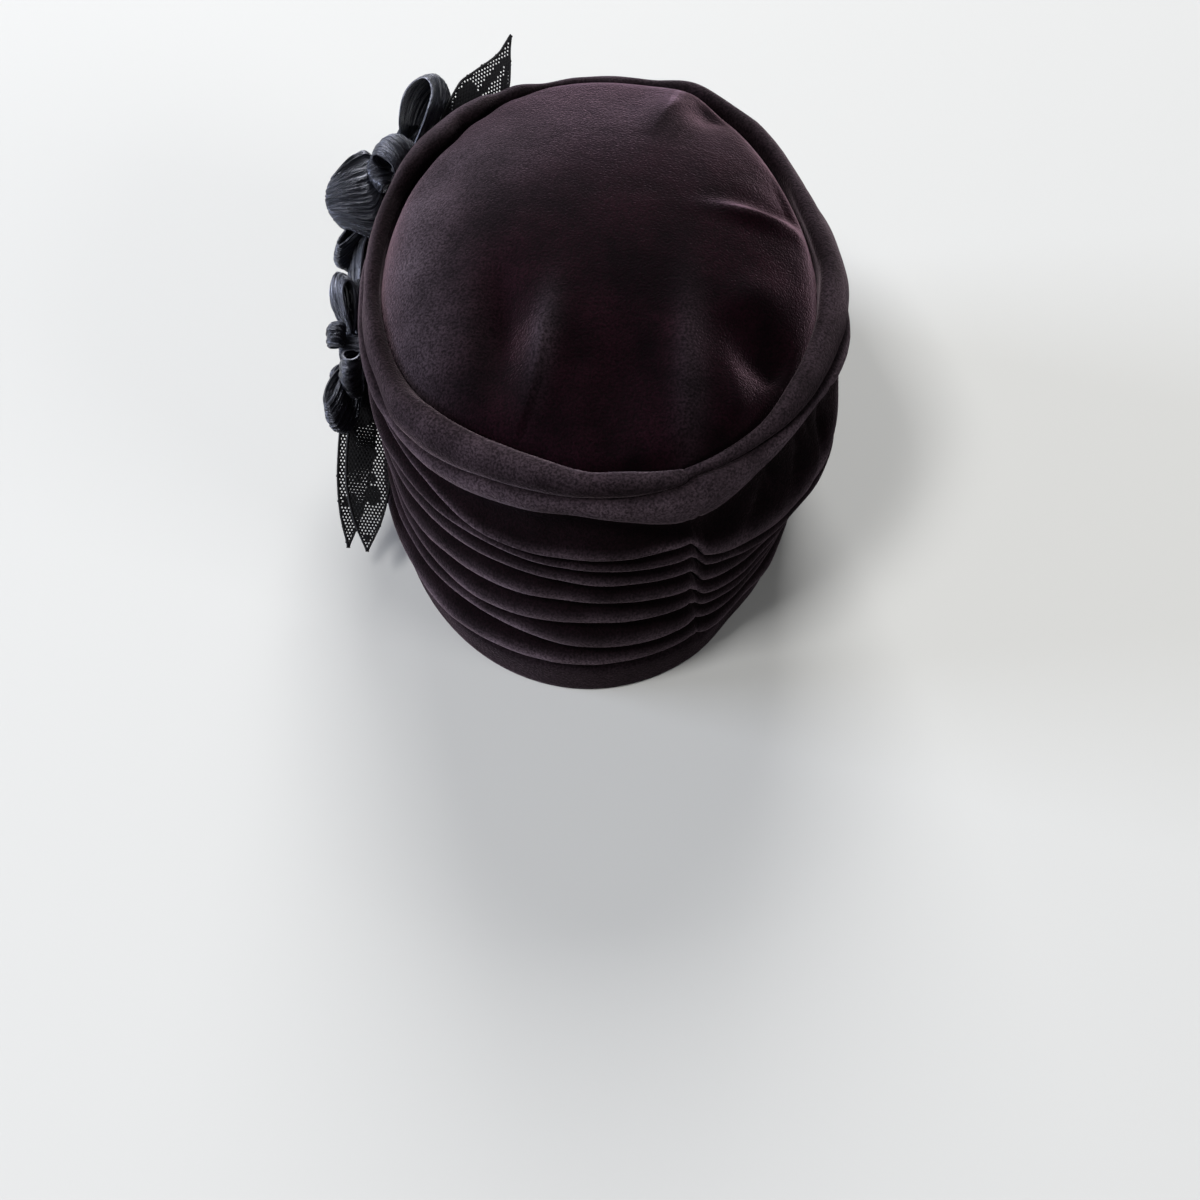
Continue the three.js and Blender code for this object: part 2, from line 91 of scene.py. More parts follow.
# Stations round the hat in degrees from the wearer's left towards the back, and the folds from the
# crown seam down: section, how far its lip stands out from the wall, how far in the groove under it lies,
# and that groove's distance up the wall at each station.
STATIONS = np.array([0, 45, 70, 90, 110, 124, 145, 180, 225, 270, 315.0])
FOLDS = [
    (RIDGE, 1.5, -4.4, (93, 93, 101.5, 104, 104.5, 106, 100.5, 95, 93, 96, 95)),
    (ROLL, 2.2, -6.4, (82, 86.5, 92, 95, 89, 89, 94, 87, 84, 87, 85)),
    (HOLLOW, -0.8, -5.6, (74, 79, 78.5, 79.5, 77.5, 67.5, 57, 73, 77, 75, 73)),
    (PLEAT, 2.0, -5.6, (65, 71, 73, 72.5, 69, 60, 49, 63, 66, 67, 63)),
    (PLEAT, 0.8, -5.6, (55, 60.5, 65, 64, 60, 49.5, 42, 52, 57, 54, 52)),
    (PLEAT, 1.0, -5.4, (45, 48, 53, 54.5, 49, 41, 35, 42, 44, 45, 43)),
    (PLEAT, 0.8, -5.0, (36, 38, 40, 43, 39, 33, 28, 32, 35, 33, 35)),
    (PLEAT, 0.8, -4.4, (25, 29, 30.5, 29.5, 27.5, 25, 20, 21, 24, 25, 22)),
    (PLEAT, 1.0, -3.2, (14, 14, 17.5, 19, 18, 15, 11, 11, 13, 14, 12)),
]
# The crown seam: degrees, and its distance up the wall there (past the shoulder's top it turns down again,
# inside the first fold).
SEAM_LINE = np.array([
    (0, 102.6), (20, 103.6), (36, 104.8), (48, 112.5), (60, 120), (75, 122.5), (90, 119), (102, 118),
    (118, 113), (140, 114.5), (160, 115.5), (180, 114.8), (205, 115.4), (225, 109.4), (245, 106),
    (264, 106.5), (290, 107), (298, 109.5), (304, 108.2), (311, 112), (317, 110.8), (323, 113.8),
    (330, 111), (337, 109.2), (345, 104.6),
])
# Drape: points round and rows to a fold; its edges' depths, turn and rise; a fold's full width in depths and
# the limits of its share; the inner face's top row and the upper edge's inner corner.
DRAPE = {"columns": 640, "fold_rows": 14, "seam_out": -4.6, "edge_out": -4.6, "edge_turn": 1.4,
         "edge_rise": 0.6, "fold_width": 2.2, "least": 0.7, "most": 1.15, "inner_fall": 6, "inner_out": -7.4,
         "corner_fall": 1.2, "corner_in": 1.0}
# Inner face of the drape: distance up the wall, and how far out it lies.
DRAPE_INNER = [(27, -4.7), (36, -7.4), (76, -8.4), (88, -8.2)]
# Random curves round the hat for the seam, the lips and the painted light on each fold's lip: first seed,
# waves, size.
SEAM_WANDER = (3, (9, 14, 23), 0.5)
LIP_WANDER = (20, (3, 5, 8, 13), 0.07)
PAINTED_LIGHT_WANDER = (40, (7, 11, 17, 29), 0.16)
# Small rumples of the drape: height, cells round and up, seed, and how far out they are full.
RUMPLE = {"height": 0.35, "cells": (46, 18), "seed": 5, "full_at": 2}
# The slot between crown and drape: degrees, how far the crown's edge lies below the drape's, and the power
# of the crown's fall to it: low where the crown rounds off broadly, high where it drops at the edge.
SLOT = np.array([(0, 2.8, 20), (45, 1.6, 26), (90, 0.6, 40), (135, 1.6, 40), (180, 3.0, 25), (225, 1.0, 30),
                 (270, -1.0, 45), (315, 0.2, 38)])
# The drape's wall in that slot: how much deeper than the crown's edge it goes, and its rows' shares of that.
SLOT_WALL = {"deeper": 1.4, "shares": (1.0, 0.68, 0.34)}
# Where the first fold meets the crown in a soft valley instead: middle in degrees, half width.
SOFT_SEAM = (82.0, 44.0)
# Places where the wall is fuller (above 0) or flatter: degrees, distance up, half widths of both, size.
SWELLS = [
    (158, 60, 16, 23, 7.0),
    (168, 88, 12, 9, 2.4),
    (209, 101, 17, 12, -3.8),
    (249, 103, 9, 9, 2.9),
    (137, 8, 9, 12, -2.6),
    (275, 103, 25, 9, -1.0),
    (126, 85, 5, 4.5, -3.0),
    (134, 87, 5, 4.5, -4.0),
    (142, 89, 5, 4.5, -4.0),
    (150, 90, 5, 4.5, -3.0),
]
# Points along a crease. Creases of the drape: points in degrees and distance up, depth, half width.
CREASE_POINTS = 40
DRAPE_CREASES = [
    ([(121, 66), (131, 68), (136, 72), (141.5, 79), (146, 82), (152, 90)], 2.2, 1.5),
    ([(140, 60), (145, 66), (149, 74), (153, 84), (156, 92), (158, 100)], 2.0, 1.5),
    ([(150, 58), (156, 68), (160, 80), (163, 92)], 1.8, 1.5),
]
# The drape's join, in degrees: its place at the seam and the rim, the stretch in which stations shift for
# it, the stations on its two sides, half the way between them; then the sizes of its pinch and its line.
JOIN = {"top": 113.0, "bottom": 124.0, "start": 90.0, "end": 145.0, "near": 110.0, "far": 124.0,
        "half_jump": 2.4, "half_angle": 3.2, "pinch": 0.22, "crease": 0.7, "line_angle": 0.45}

# Hem band: plain below, drawn in behind the lowest fold above. Its tuck starts and ends below the lowest
# groove; the shares place its hidden rows, its plain rows and its lowest inner row. Its outer face below the
# tuck gets a little painted light; the tuck under the fold is left in painted shade.
HEM = {"columns": 480, "thickness": 1.8, "rounding": 0.25, "out": -0.4, "tucked": -5.2, "tuck_start": 6.5,
       "tuck_end": 1.0, "tuck_rows": 10, "top": 24.0, "hidden_shares": (0, 0.5),
       "plain_shares": (0.3, 0.6, 0.85, 0.96), "inner_share": 0.3, "painted_light": 0.09}

# Crown panel: a dome with a rounded edge that laps under the drape. The powers and shares are of the way from
# its middle (0) to the seam (1); shoulder makes it fuller on the left.
CROWN = {"columns": 480, "rows": 110, "row_bias": 1.6, "inner_rows": 10, "thickness": 1.6, "dome": 20.0,
         "edge_dip": 6.0, "edge_out": -5.0, "edge_power": 4, "lap": 1.5, "lap_out": -6.2, "lap_drop": 6.0,
         "lap_share": 0.5, "dent_fade": 0.9, "shoulder": 7.0, "shoulder_power": 8}
# Dents (height below 0) and soft ridges (above 0): x, y, half length, half width, turn, height.
DENTS = [
    (31, 38, 20, 7, 95, -7.0),
    (17, 43, 15, 6, 85, 3.8),
    (-7, 55, 22, 10, 90, -2.6),
    (-28, 50, 26, 6, 92, 3.4),
    (-53, 36, 13, 10, 150, -7.5),
    (-45, 57, 12, 5, 100, 2.2),
    (-50, 17, 12, 7, 40, 2.2),
    (-51, -17, 17, 4, 8, 2.6),
    (-55, -27, 14, 5, 15, -2.0),
    (-62, -38, 14, 9, 60, -3.4),
    (-20, -64, 18, 7, 72, 2.4),
    (-34, -74, 12, 7, 60, -3.4),
    (57, -27, 12, 7, 80, -2.0),
]
# Painted light on the crown, paler along the left side, towards the front and on two ridge crests, where it
# is lit: x, y, half length, half width, turn, how much.
PAINTED_LIGHT_SPOTS = [
    (71, 6, 46, 19, 90, 0.72),
    (48, -34, 30, 24, 30, 0.36),
    (0, -62, 50, 22, 0, 0.2),
    (60, 48, 22, 16, 60, 0.26),
    (-29, 46, 26, 5, 92, 0.22),
    (18, 43, 15, 4.5, 85, 0.34),
]
# Creases of the crown: points, height, width of the steep side (left going along) and of the soft one.
CREASES = [
    ([(18, 36), (18, 48), (20, 60), (24, 72), (28, 82)], 1.5, 1.4, 8.0),
    ([(-66, -28), (-57, -19), (-46, -15), (-35, -16)], 0.6, 2.0, 6.0),
    ([(-30, -78), (-22, -70), (-16, -58), (-12, -46)], 1.3, 2.2, 7.0),
]

# Blossoms on the wall: degrees round the hat, distance up it, how far out.
BLOSSOMS = {"front": (327, 80, 1.2), "back": (0, 54, 1.3)}
# Knot: its size and mesh, the ribs round it, and the ribbon wound along it. Its profile: shares of the radius
# and of the height, from the outer end in.
KNOT = {"radius": 5.7, "height": 13.0, "sides": 96, "rows": 24, "ribs": 22, "rib": 0.35, "wound": 20}
KNOT_PROFILE = [(0.6, 1.0), (0.88, 0.95), (0.97, 0.84), (1.0, 0.5), (0.97, 0.0)]
# Petals: ribbon, start at the knot, steps, arch and tip; the gathers' spacing, depth, points, fewest,
# sideways drift and cells along; the share of the way over which a petal slips sideways; first seed.
PETAL = {"thickness": 0.6, "base_radius": 6.1, "gather": 5.0, "steps": 52, "cup": 1.4, "tip_round": 0.42,
         "tip_sharpness": 4, "thread": 1.0, "thread_depth": 1.1, "samples": 4, "fewest": 8, "drift": 0.12,
         "drift_turn": 3, "cells": 6, "slip_end": 0.4, "first_seed": 100}
# Points round a ribbon's rounded edge, its two ends counted.
EDGE_POINTS = 5
# A loop's curve, from the knot over the top and back under: (share of the length, share of the height).
LOOP = [(0, 0.55), (0.36, 0.95), (0.74, 1), (1, 0.52), (0.78, 0.06), (0.36, 0.08), (0, 0.38)]
# Petals: turn (0 towards the back of the hat, 90 up, 180 the front), lean out from the wall, spin about
# its own length, length, width, floor, height, slip sideways, where it is widest, width left at the tip.
PETALS = {
    "front": [
        (92, 0, 0, 20, 14, 2.0, 9.5, -5.5, 0.6, 1), (200, 2, 0, 32, 34, 2.6, 5, 0, 0.8, 1),
        (342, 10, 0, 42, 20, 4.5, 4, -7, 0.8, 1), (0, 42, 119, 29.5, 34, 10, 5, 8, 0.3, 0.55),
        (146, 4, 0, 39, 22, 3.5, 10.5, 0, 0.7, 1), (258, 8, 0, 34, 35, 8.6, 6, 0, 0.8, 1),
        (20, 30, 119, 15, 14, 8, 4.5, 0, 0.7, 1), (150, 0, 100, 20, 12, 12, 4.5, -2, 0.7, 1),
        (300, 20, 0, 17, 11, 12, 4.5, 0, 0.8, 1),
    ],
    "back": [
        (20, 0, 0, 25, 16, 2.4, 5, 0, 0.7, 1), (163, 4, -25, 46, 20, 4.5, 4, 0, 0.7, 1),
        (200, 0, 0, 30, 30, 2.4, 4, 0, 0.8, 1), (265, 0, 0, 29, 24, 2.4, 4, 0, 0.8, 1),
        (2, 4, -20, 37, 16, 4.2, 4.5, 0, 0.7, 1), (140, 12, -30, 28, 16, 6, 4.5, 0, 0.7, 1),
        (158, 4, -20, 27, 18, 3.5, 4.5, 0, 0.7, 1), (232, 6, 0, 30, 29, 7.6, 4.5, 0, 0.8, 1),
        (76, 14, 0, 14, 10, 8, 4, 0, 0.7, 1), (196, 14, 0, 14, 10, 8, 4, 0, 0.7, 1),
        (316, 14, 0, 14, 10, 8, 4, 0, 0.7, 1),
    ],
}

# Lace leaves: thickness, start at the knot, twist; the net's pitch, holes (open and dense, as shares of a
# cell), margin and cells either side; the edge tape's width, steps and least distance out.
LEAF = {"thickness": 0.4, "base_radius": 6.1, "twist_start": -0.2, "twist_end": 0.35, "pitch": 1.35,
        "hole": 0.5, "closed": 0.12, "margin": 0.35, "half_cells": 30, "edge": 0.9, "tape_steps": 90,
        "tape_least": 0.2}
CELL_SIDES = 6
# Section of a leaf's tape: share of its width, and how far up.
TAPE_SECTION = np.array([(0.5, 0.3), (0.5, -0.3), (-0.5, -0.3), (-0.5, 0.3)])
# Lace leaves: blossom, turn, length, start, rise, twist, then the half widths below and above the middle
# line as (share along, mm).
LEAVES = {
    "lace_leaf_upper": (
        "front", 157, 69, 0.4, 0.0, -40,
        [(0, 3), (0.3, 6.5), (0.55, 7.7), (0.65, 5.6), (0.85, 1.0), (1, 0.3)],
        [(0, 3), (0.3, 11), (0.6, 12.5), (0.75, 10), (0.84, 6.7), (0.93, 2.7), (1, 0.3)]),
    "lace_leaf_lower_1": (
        "back", -32, 75, 4.0, 1.5, 58, [(0, 3), (0.2, 6.6), (0.55, 6.4), (0.8, 4.4), (1, 0.3)],
        [(0, 3), (0.2, 7), (0.55, 7.5), (0.8, 5), (1, 0.3)]),
    "lace_leaf_lower_2": (
        "back", -30, 76, 0.2, -2.5, 60, [(0, 3), (0.2, 7.5), (0.6, 9), (0.82, 6), (1, 0.3)],
        [(0, 3), (0.2, 7.5), (0.6, 9), (0.82, 6), (1, 0.3)]),
}
# Dense patches of each leaf: share along, mm across, half length mm, half width mm, turn.
MOTIFS = {
    "lace_leaf_upper": [(0.5, -2.5, 7.0, 3.6, 0), (0.7, 2.0, 12.0, 1.3, 5), (0.2, 1.0, 9.0, 6.0, 0),
                        (0.62, 8.0, 1.6, 1.4, 0), (0.82, 5.6, 10.0, 1.0, -22)],
    "lace_leaf_lower_1": [(0.2, 0.0, 9.0, 7.5, 0), (0.46, 1.5, 1.5, 1.3, 0), (0.62, -1.5, 1.4, 1.2, 0),
                          (0.74, 1.5, 3.0, 2.0, 30)],
    "lace_leaf_lower_2": [(0.18, 0.0, 8.0, 8.0, 0), (0.47, -2.0, 1.6, 1.4, 0), (0.6, -2.0, 1.4, 1.3, 0),
                          (0.69, -2.0, 3.6, 3.4, 0), (0.93, 0.0, 1.2, 1.0, 0), (0.4, 7.0, 13.0, 2.2, 0),
                          (0.72, 5.0, 1.6, 1.2, 0)],
}


def smooth(value, low, high):
    """0 below low, 1 above high, and the cubic 3t^2 - 2t^3 between."""
    t = np.clip((np.asarray(value, float) - low) / (high - low), 0, 1)
    return t * t * (3 - 2 * t)


def hermite(knots, values, at):
    """Cubic curve through values at the knots, with the slope of the chord between a knot's neighbours."""
    values = np.asarray(values, float)
    slopes = np.empty_like(values)
    gaps = np.diff(knots).reshape(-1, *[1] * (values.ndim - 1))
    chords = np.diff(values, axis=0) / gaps
    slopes[1:-1] = (values[2:] - values[:-2]) / (gaps[1:] + gaps[:-1])
    slopes[0], slopes[-1] = chords[0], chords[-1]
    k = np.clip(np.searchsorted(knots, at, side="right") - 1, 0, len(knots) - 2)
    wide = (...,) + (None,) * (values.ndim - 1)
    t = ((at - knots[k]) / (knots[k + 1] - knots[k]))[wide]
    span = (knots[k + 1] - knots[k])[wide]
    bend = t * t * (3 - 2 * t)
    pull = t * (1 - t) * (1 - t) * span * slopes[k] - t * t * (1 - t) * span * slopes[k + 1]
    return values[k] + (values[k + 1] - values[k]) * bend + pull


def spline(points, count):
    """count points along a smooth curve through the given ones, evenly spaced by chord length."""
    points = np.array(points, float)
    knots = np.concatenate([[0], np.cumsum(np.linalg.norm(np.diff(points, axis=0), axis=1))])
    return hermite(knots, points, np.linspace(0, knots[-1], count))


def round_row(stations, values, degrees):
    """A table row at an angle: a smooth closed curve through the row's stations."""
    knots = np.concatenate([[stations[-1] - 360], stations, stations[:2] + 360])
    values = np.asarray(values, float)
    return hermite(knots, np.concatenate([values[-1:], values, values[:2]]), np.mod(degrees, 360))


def angles_round(count):
    """Evenly spaced angles round a full turn."""
    return np.arange(count) * FULL / count


def ripple(angle, seed, waves, size, number=0):
    """Closed random curve round the hat: a sum of cosines of the given wave numbers, each 1/wave strong.

    number picks one of a row of such curves."""
    phase = np.random.default_rng(seed + number).uniform(0, FULL, len(waves))
    total = sum(np.cos(w * angle + p) * waves[0] / w for w, p in zip(waves, phase))
    return size * total


def patch_noise(u, v, cells_u, cells_v, seed):
    """Smooth random field from -1 to 1: values on a lattice, blended by smooth steps, closed in u.

    u and v run from 0 to 1."""
    table = np.random.default_rng(seed).uniform(-1, 1, (cells_u, cells_v + 2))
    u, v = np.mod(u, 1) * cells_u, np.clip(v, 0, 1) * cells_v
    i, j = np.floor(u).astype(int) % cells_u, np.floor(v).astype(int)
    a, b = smooth(u - np.floor(u), 0, 1), smooth(v - np.floor(v), 0, 1)
    k = (i + 1) % cells_u
    low = table[i, j] * (1 - a) + table[k, j] * a
    high = table[i, j + 1] * (1 - a) + table[k, j + 1] * a
    return low * (1 - b) + high * b


def oval_reach(x, y, middle_x, middle_y, along, across, turn):
    """Squared distance from an oval's middle, 1 on its outline: the place is turned into the oval's own
    directions and divided by its half length and half width."""
    c, s = np.cos(np.radians(turn)), np.sin(np.radians(turn))
    a = ((x - middle_x) * c + (y - middle_y) * s) / along
    b = ((y - middle_y) * c - (x - middle_x) * s) / across
    return a * a + b * b


def ovals(x, y, table):
    """Sum of bell curves exp(-reach) over turned ovals, each as high as its row says."""
    return sum(size * np.exp(-oval_reach(x, y, *oval)) for *oval, size in table)


def nearest_of(line, x, y):
    """Offset of each place from the nearest point of a line, that point's number, and a fade that is half a
    sine wave from one end of the line to the other."""
    gap = np.stack(np.broadcast_arrays(x, y), -1)[..., None, :] - line
    number = np.argmin((gap ** 2).sum(-1), axis=-1)
    gap = np.take_along_axis(gap, number[..., None, None], -2)[..., 0, :]
    return gap, number, np.sin(2 * QUARTER * number / (len(line) - 1))


def ring_at(up):
    """Ring sizes at a distance up the wall: a parabola through the three lower rings, then a quarter
    ellipse over the shoulder from the bulge to the crown seam."""
    up = np.asarray(up, float)[..., None]
    a, b, c = RIM[0], WAIST[0], BULGE[0]
    lower = RIM * (up - b) * (up - c) / ((a - b) * (a - c))
    lower = lower + WAIST * (up - a) * (up - c) / ((b - a) * (b - c))
    lower = lower + BULGE * (up - a) * (up - b) / ((c - a) * (c - b))
    turn = QUARTER * np.clip((up - c) / SHOULDER_ARC, 0, None)
    upper = BULGE + (SEAM - BULGE) * (1 - np.cos(turn))
    upper[..., :1] = c + (SEAM[0] - c) * np.sin(turn)
    return np.where(up <= c, lower, upper)


def ring_point(ring, angle):
    """Point of a level ring: an ellipse round the hat that falls towards the back."""
    x = ring[..., 1] * np.cos(angle)
    y = ring[..., 3] + ring[..., 2] * np.sin(angle)
    return np.stack([x, y, ring[..., 0] - ring[..., 4] * y], -1)


def swell(angle, up):
    """How much fuller the wall is at a place: a sum of bell curves round the hat and up it."""
    degrees = np.mod(np.degrees(angle), 360)
    return sum(size * np.exp(-((degrees - at) / wide) ** 2 - ((up - height) / tall) ** 2)
               for at, height, wide, tall, size in SWELLS)


def wall_point(angle, up, out):
    """Point of the side wall, moved out along the wall's normal: the cross product of two short steps."""
    step = 0.01
    angle, up, out = np.broadcast_arrays(angle, up, out + swell(angle, up))
    point = ring_point(ring_at(up), angle)
    round_it = ring_point(ring_at(up), angle + step) - point
    rise = point - ring_point(ring_at(up - step), angle)
    normal = np.cross(round_it, rise)
    return point + normal / np.linalg.norm(normal, axis=-1, keepdims=True) * out[..., None]


def grid_quads(rows, columns, close_rows=False):
    """Quads between the points of a grid listed row by row; its columns, or both ways, close into a ring."""
    i, j = np.meshgrid(np.arange(rows - (not close_rows)), np.arange(columns), indexing="ij")
    k, m = (i + 1) % rows, (j + 1) % columns
    corners = np.stack([i * columns + j, k * columns + j, k * columns + m, i * columns + m], -1)
    return corners.reshape(-1, 4)


def fan(ring, middle, outward):
    """Triangles that close a ring of point numbers at a middle point."""
    other = np.roll(ring, -1)
    pair = (ring, other) if outward else (other, ring)
    return np.stack([np.full_like(ring, middle), *pair], -1)


def end_fans(count, sides):
    """Triangles that close the first and last ring of a grid at the two points listed after the grid's."""
    first, last = np.arange(sides), count - sides + np.arange(sides)
    return np.concatenate([fan(first, count, True), fan(last, count + 1, False)])


def tube_ends(rings):
    """Points, quads and end triangles of a row of closed sections, closed at both ends by their middles."""
    steps, sides = rings.shape[:2]
    points = np.concatenate([rings.reshape(-1, 3), rings[:1].mean(1), rings[-1:].mean(1)])
    return points, grid_quads(steps, sides), end_fans(steps * sides, sides)


def add_piece(node, points, quads, triangles, look, slot, uv=None, painted_light=None):
    """A mesh from arrays of points in millimetres, quads and triangles, that stands in for a plain solid.

    Its last argument paints light on a velvet piece: how far each point is mixed towards a pale lit colour,
    high on lips and ridges, 0 as painted shade in grooves."""
    name = f"{node}_{slot}"
    mesh = bpy.data.meshes.new(name)
    corners = np.concatenate([quads.ravel(), triangles.ravel()]).astype(np.int32)
    starts = np.concatenate([4 * np.arange(len(quads)), 4 * len(quads) + 3 * np.arange(len(triangles))])
    mesh.vertices.add(len(points))
    mesh.vertices.foreach_set("co", (points * MM + HAT_ORIGIN).astype(np.float32).ravel())
    mesh.loops.add(len(corners))
    mesh.loops.foreach_set("vertex_index", corners)
    mesh.polygons.add(len(starts))
    mesh.polygons.foreach_set("loop_start", starts.astype(np.int32))
    mesh.polygons.foreach_set("use_smooth", np.ones(len(starts), bool))
    if painted_light is not None:
        layer = mesh.attributes.new("painted_light", "FLOAT", "POINT")
        layer.data.foreach_set("value", painted_light.astype(np.float32).ravel())
    if uv is not None:
        layer = mesh.uv_layers.new(name="ribbon")
        layer.data.foreach_set("uv", (uv * MM)[corners].astype(np.float32).ravel())
    mesh.update(calc_edges=True)
    mesh.materials.append(look)
    piece = bpy.data.objects.new(name, mesh)
    bpy.context.scene.collection.objects.link(piece)
    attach(piece, "root")
    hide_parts(node)
    return piece


def area_of(points, quads):
    """Surface of a set of quads in square metres: half the cross product of each quad's diagonals."""
    a, b, c, d = (points[quads[:, k]] for k in range(4))
    return float(np.linalg.norm(np.cross(c - a, d - b), axis=1).sum() / 2) * MM * MM


def girth_of(angle):
    """Way round the hat in metres, at the wall's middle ring."""
    ring = wall_point(angle, WAIST[0], 0.0)
    return float(np.linalg.norm(np.roll(ring, -1, axis=0) - ring, axis=1).sum()) * MM


def to_linear(colour):
    """sRGB hex colour as linear RGBA."""
    value = np.array([int(colour[k:k + 2], 16) for k in (1, 3, 5)]) / 255
    bent = np.where(value <= 0.04045, value / 12.92, ((value + 0.055) / 1.055) ** 2.4)
    return (*bent.tolist(), 1.0)


def add_node(tree, kind, inputs, **settings):
    """A shader node with its settings and inputs; an input is a value or another node's output."""
    made = tree.nodes.new(kind)
    for key, value in settings.items():
        setattr(made, key, value)
    for key, value in inputs.items():
        if isinstance(value, bpy.types.NodeSocket):
            tree.links.new(value, made.inputs[key])
        else:
            made.inputs[key].default_value = value
    return made


def new_material(name, inputs):
    """A material with one Principled shader whose plain inputs are set on its own sockets."""
    made = bpy.data.materials.new(name)
    made.use_nodes = True
    made.node_tree.nodes.clear()
    shader = add_node(made.node_tree, "ShaderNodeBsdfPrincipled", inputs)
    add_node(made.node_tree, "ShaderNodeOutputMaterial", {"Surface": shader.outputs["BSDF"]})
    return made, made.node_tree, shader


def cotton_velvet(name, sheen, spread, tint, dark, light, painted_light_colour):
    """Aubergine-black cotton velvet with a short cut pile: near black face on, with painted light that mixes
    the base colour towards a pale colour by a per-point attribute (lit lips, sides and ridges), and painted
    shade left near black in the grooves; a pale soft sheen where it is seen from the side, a fine speckle of
    pile tips and slow patches where it was brushed, which also make the painted light uneven."""
    look, tree, shader = new_material(name, {
        "Roughness": 0.9, "Specular IOR Level": 0.04, "Sheen Weight": sheen, "Sheen Roughness": spread,
        "Sheen Tint": to_linear(tint),
    })
    # Real pile tips are too fine to show, so they are drawn this coarse.
    pile, pile_depth = 0.8 * MM, 0.36 * MM
    brushed, brushed_depth = 17 * MM, 4 * MM
    place = add_node(tree, "ShaderNodeTexCoord", {}).outputs["Object"]
    tips = add_node(tree, "ShaderNodeTexNoise", {
        "Vector": place, "Scale": 1 / pile, "Detail": 2.0, "Roughness": 0.6})
    slow = add_node(tree, "ShaderNodeTexNoise", {"Vector": place, "Scale": 1 / brushed, "Detail": 3.0})
    worn = add_node(tree, "ShaderNodeMapRange", {
        "Value": slow.outputs["Fac"], "From Min": 0.34, "From Max": 0.66, "To Min": 0.0, "To Max": 1.0})
    patch = add_node(tree, "ShaderNodeMix", {
        "Factor": worn.outputs["Result"], "A": to_linear(dark), "B": to_linear(light)}, data_type="RGBA")
    # Painted light: a per-point share that mixes the base colour towards a pale lit colour on lips, sides and
    # ridges; where it is 0 the cloth stays near black as painted shade.
    painted_light = add_node(tree, "ShaderNodeAttribute", {}, attribute_name="painted_light")
    uneven = add_node(tree, "ShaderNodeMapRange", {
        "Value": worn.outputs["Result"], "To Min": 0.7, "To Max": 1.3})
    share = add_node(tree, "ShaderNodeMath", {
        0: painted_light.outputs["Fac"], 1: uneven.outputs["Result"]}, operation="MULTIPLY")
    lit = add_node(tree, "ShaderNodeMix", {
        "Factor": share.outputs["Value"], "A": patch.outputs["Result"], "B": to_linear(painted_light_colour),
    }, data_type="RGBA")
    speck = add_node(tree, "ShaderNodeMapRange", {
        "Value": tips.outputs["Fac"], "From Min": 0.36, "From Max": 0.64, "To Min": 0.42, "To Max": 1.58})
    shade = add_node(tree, "ShaderNodeVectorMath", {
        0: lit.outputs["Result"], "Scale": speck.outputs["Result"]}, operation="SCALE")
    tree.links.new(shade.outputs["Vector"], shader.inputs["Base Color"])
    lay = add_node(tree, "ShaderNodeBump", {
        "Height": slow.outputs["Fac"], "Strength": 0.15, "Distance": brushed_depth})
    bump = add_node(tree, "ShaderNodeBump", {
        "Height": tips.outputs["Fac"], "Strength": 1.0, "Distance": pile_depth,
        "Normal": lay.outputs["Normal"]})
    tree.links.new(bump.outputs["Normal"], shader.inputs["Normal"])
    return look


def viscose_ribbon():
    """Black woven viscose ribbon: glossy lengthwise threads that catch long thin bluish highlights; the
    threads' tone is partly random and partly painted shade, near black in the gaps between raised threads.
    """
    look, tree, shader = new_material("viscose_ribbon", {
        "Roughness": 0.34, "Specular IOR Level": 1.0, "Specular Tint": to_linear("#e6eaff"),
        "Sheen Weight": 0.08, "Sheen Roughness": 0.3, "Sheen Tint": to_linear("#c9ccd8"),
    })
    # Real threads are too fine to show, so they are drawn this coarse.
    thread, along, thread_depth = 1.1 * MM, 30 * MM, 0.9 * MM
    flat = add_node(tree, "ShaderNodeTexCoord", {}).outputs["UV"]
    drawn = add_node(tree, "ShaderNodeMapping", {"Vector": flat, "Scale": (1 / thread, 1 / along, 1.0)})
    threads = add_node(tree, "ShaderNodeTexNoise", {
        "Vector": drawn.outputs["Vector"], "Scale": 1.0, "Detail": 4.0, "Roughness": 0.65})
    clear = add_node(tree, "ShaderNodeMapRange", {
        "Value": threads.outputs["Fac"], "From Min": 0.36, "From Max": 0.64, "To Min": 0.0, "To Max": 1.0})
    # Tone follows the thread relief: paler on raised threads and near black between them, partly random
    # thread tone and partly painted shade in the gaps.
    tone = add_node(tree, "ShaderNodeMix", {
        "Factor": clear.outputs["Result"], "A": to_linear("#010101"), "B": to_linear("#2c2d33"),
    }, data_type="RGBA")
    tree.links.new(tone.outputs["Result"], shader.inputs["Base Color"])
    bump = add_node(tree, "ShaderNodeBump", {
        "Height": clear.outputs["Result"], "Strength": 1.0, "Distance": thread_depth})
    tree.links.new(bump.outputs["Normal"], shader.inputs["Normal"])
    return look


def cotton_lace():
    """Black cotton lace, made of twisted thread: matt, and a little uneven in tone."""
    look, tree, shader = new_material("cotton_lace", {"Roughness": 0.75, "Specular IOR Level": 0.25})
    thread = 0.8 * MM
    place = add_node(tree, "ShaderNodeTexCoord", {}).outputs["Object"]
    fibre = add_node(tree, "ShaderNodeTexNoise", {"Vector": place, "Scale": 1 / thread, "Detail": 2.0})
    tone = add_node(tree, "ShaderNodeMix", {
        "Factor": fibre.outputs["Fac"], "A": to_linear("#101012"), "B": to_linear("#29292c"),
    }, data_type="RGBA")
    tree.links.new(tone.outputs["Result"], shader.inputs["Base Color"])
    return look


def seam_row(degrees):
    """Distance up the wall of the crown seam: a smooth curve through its table that wanders a little."""
    return round_row(*SEAM_LINE.T, degrees) + ripple(np.radians(degrees), *SEAM_WANDER)


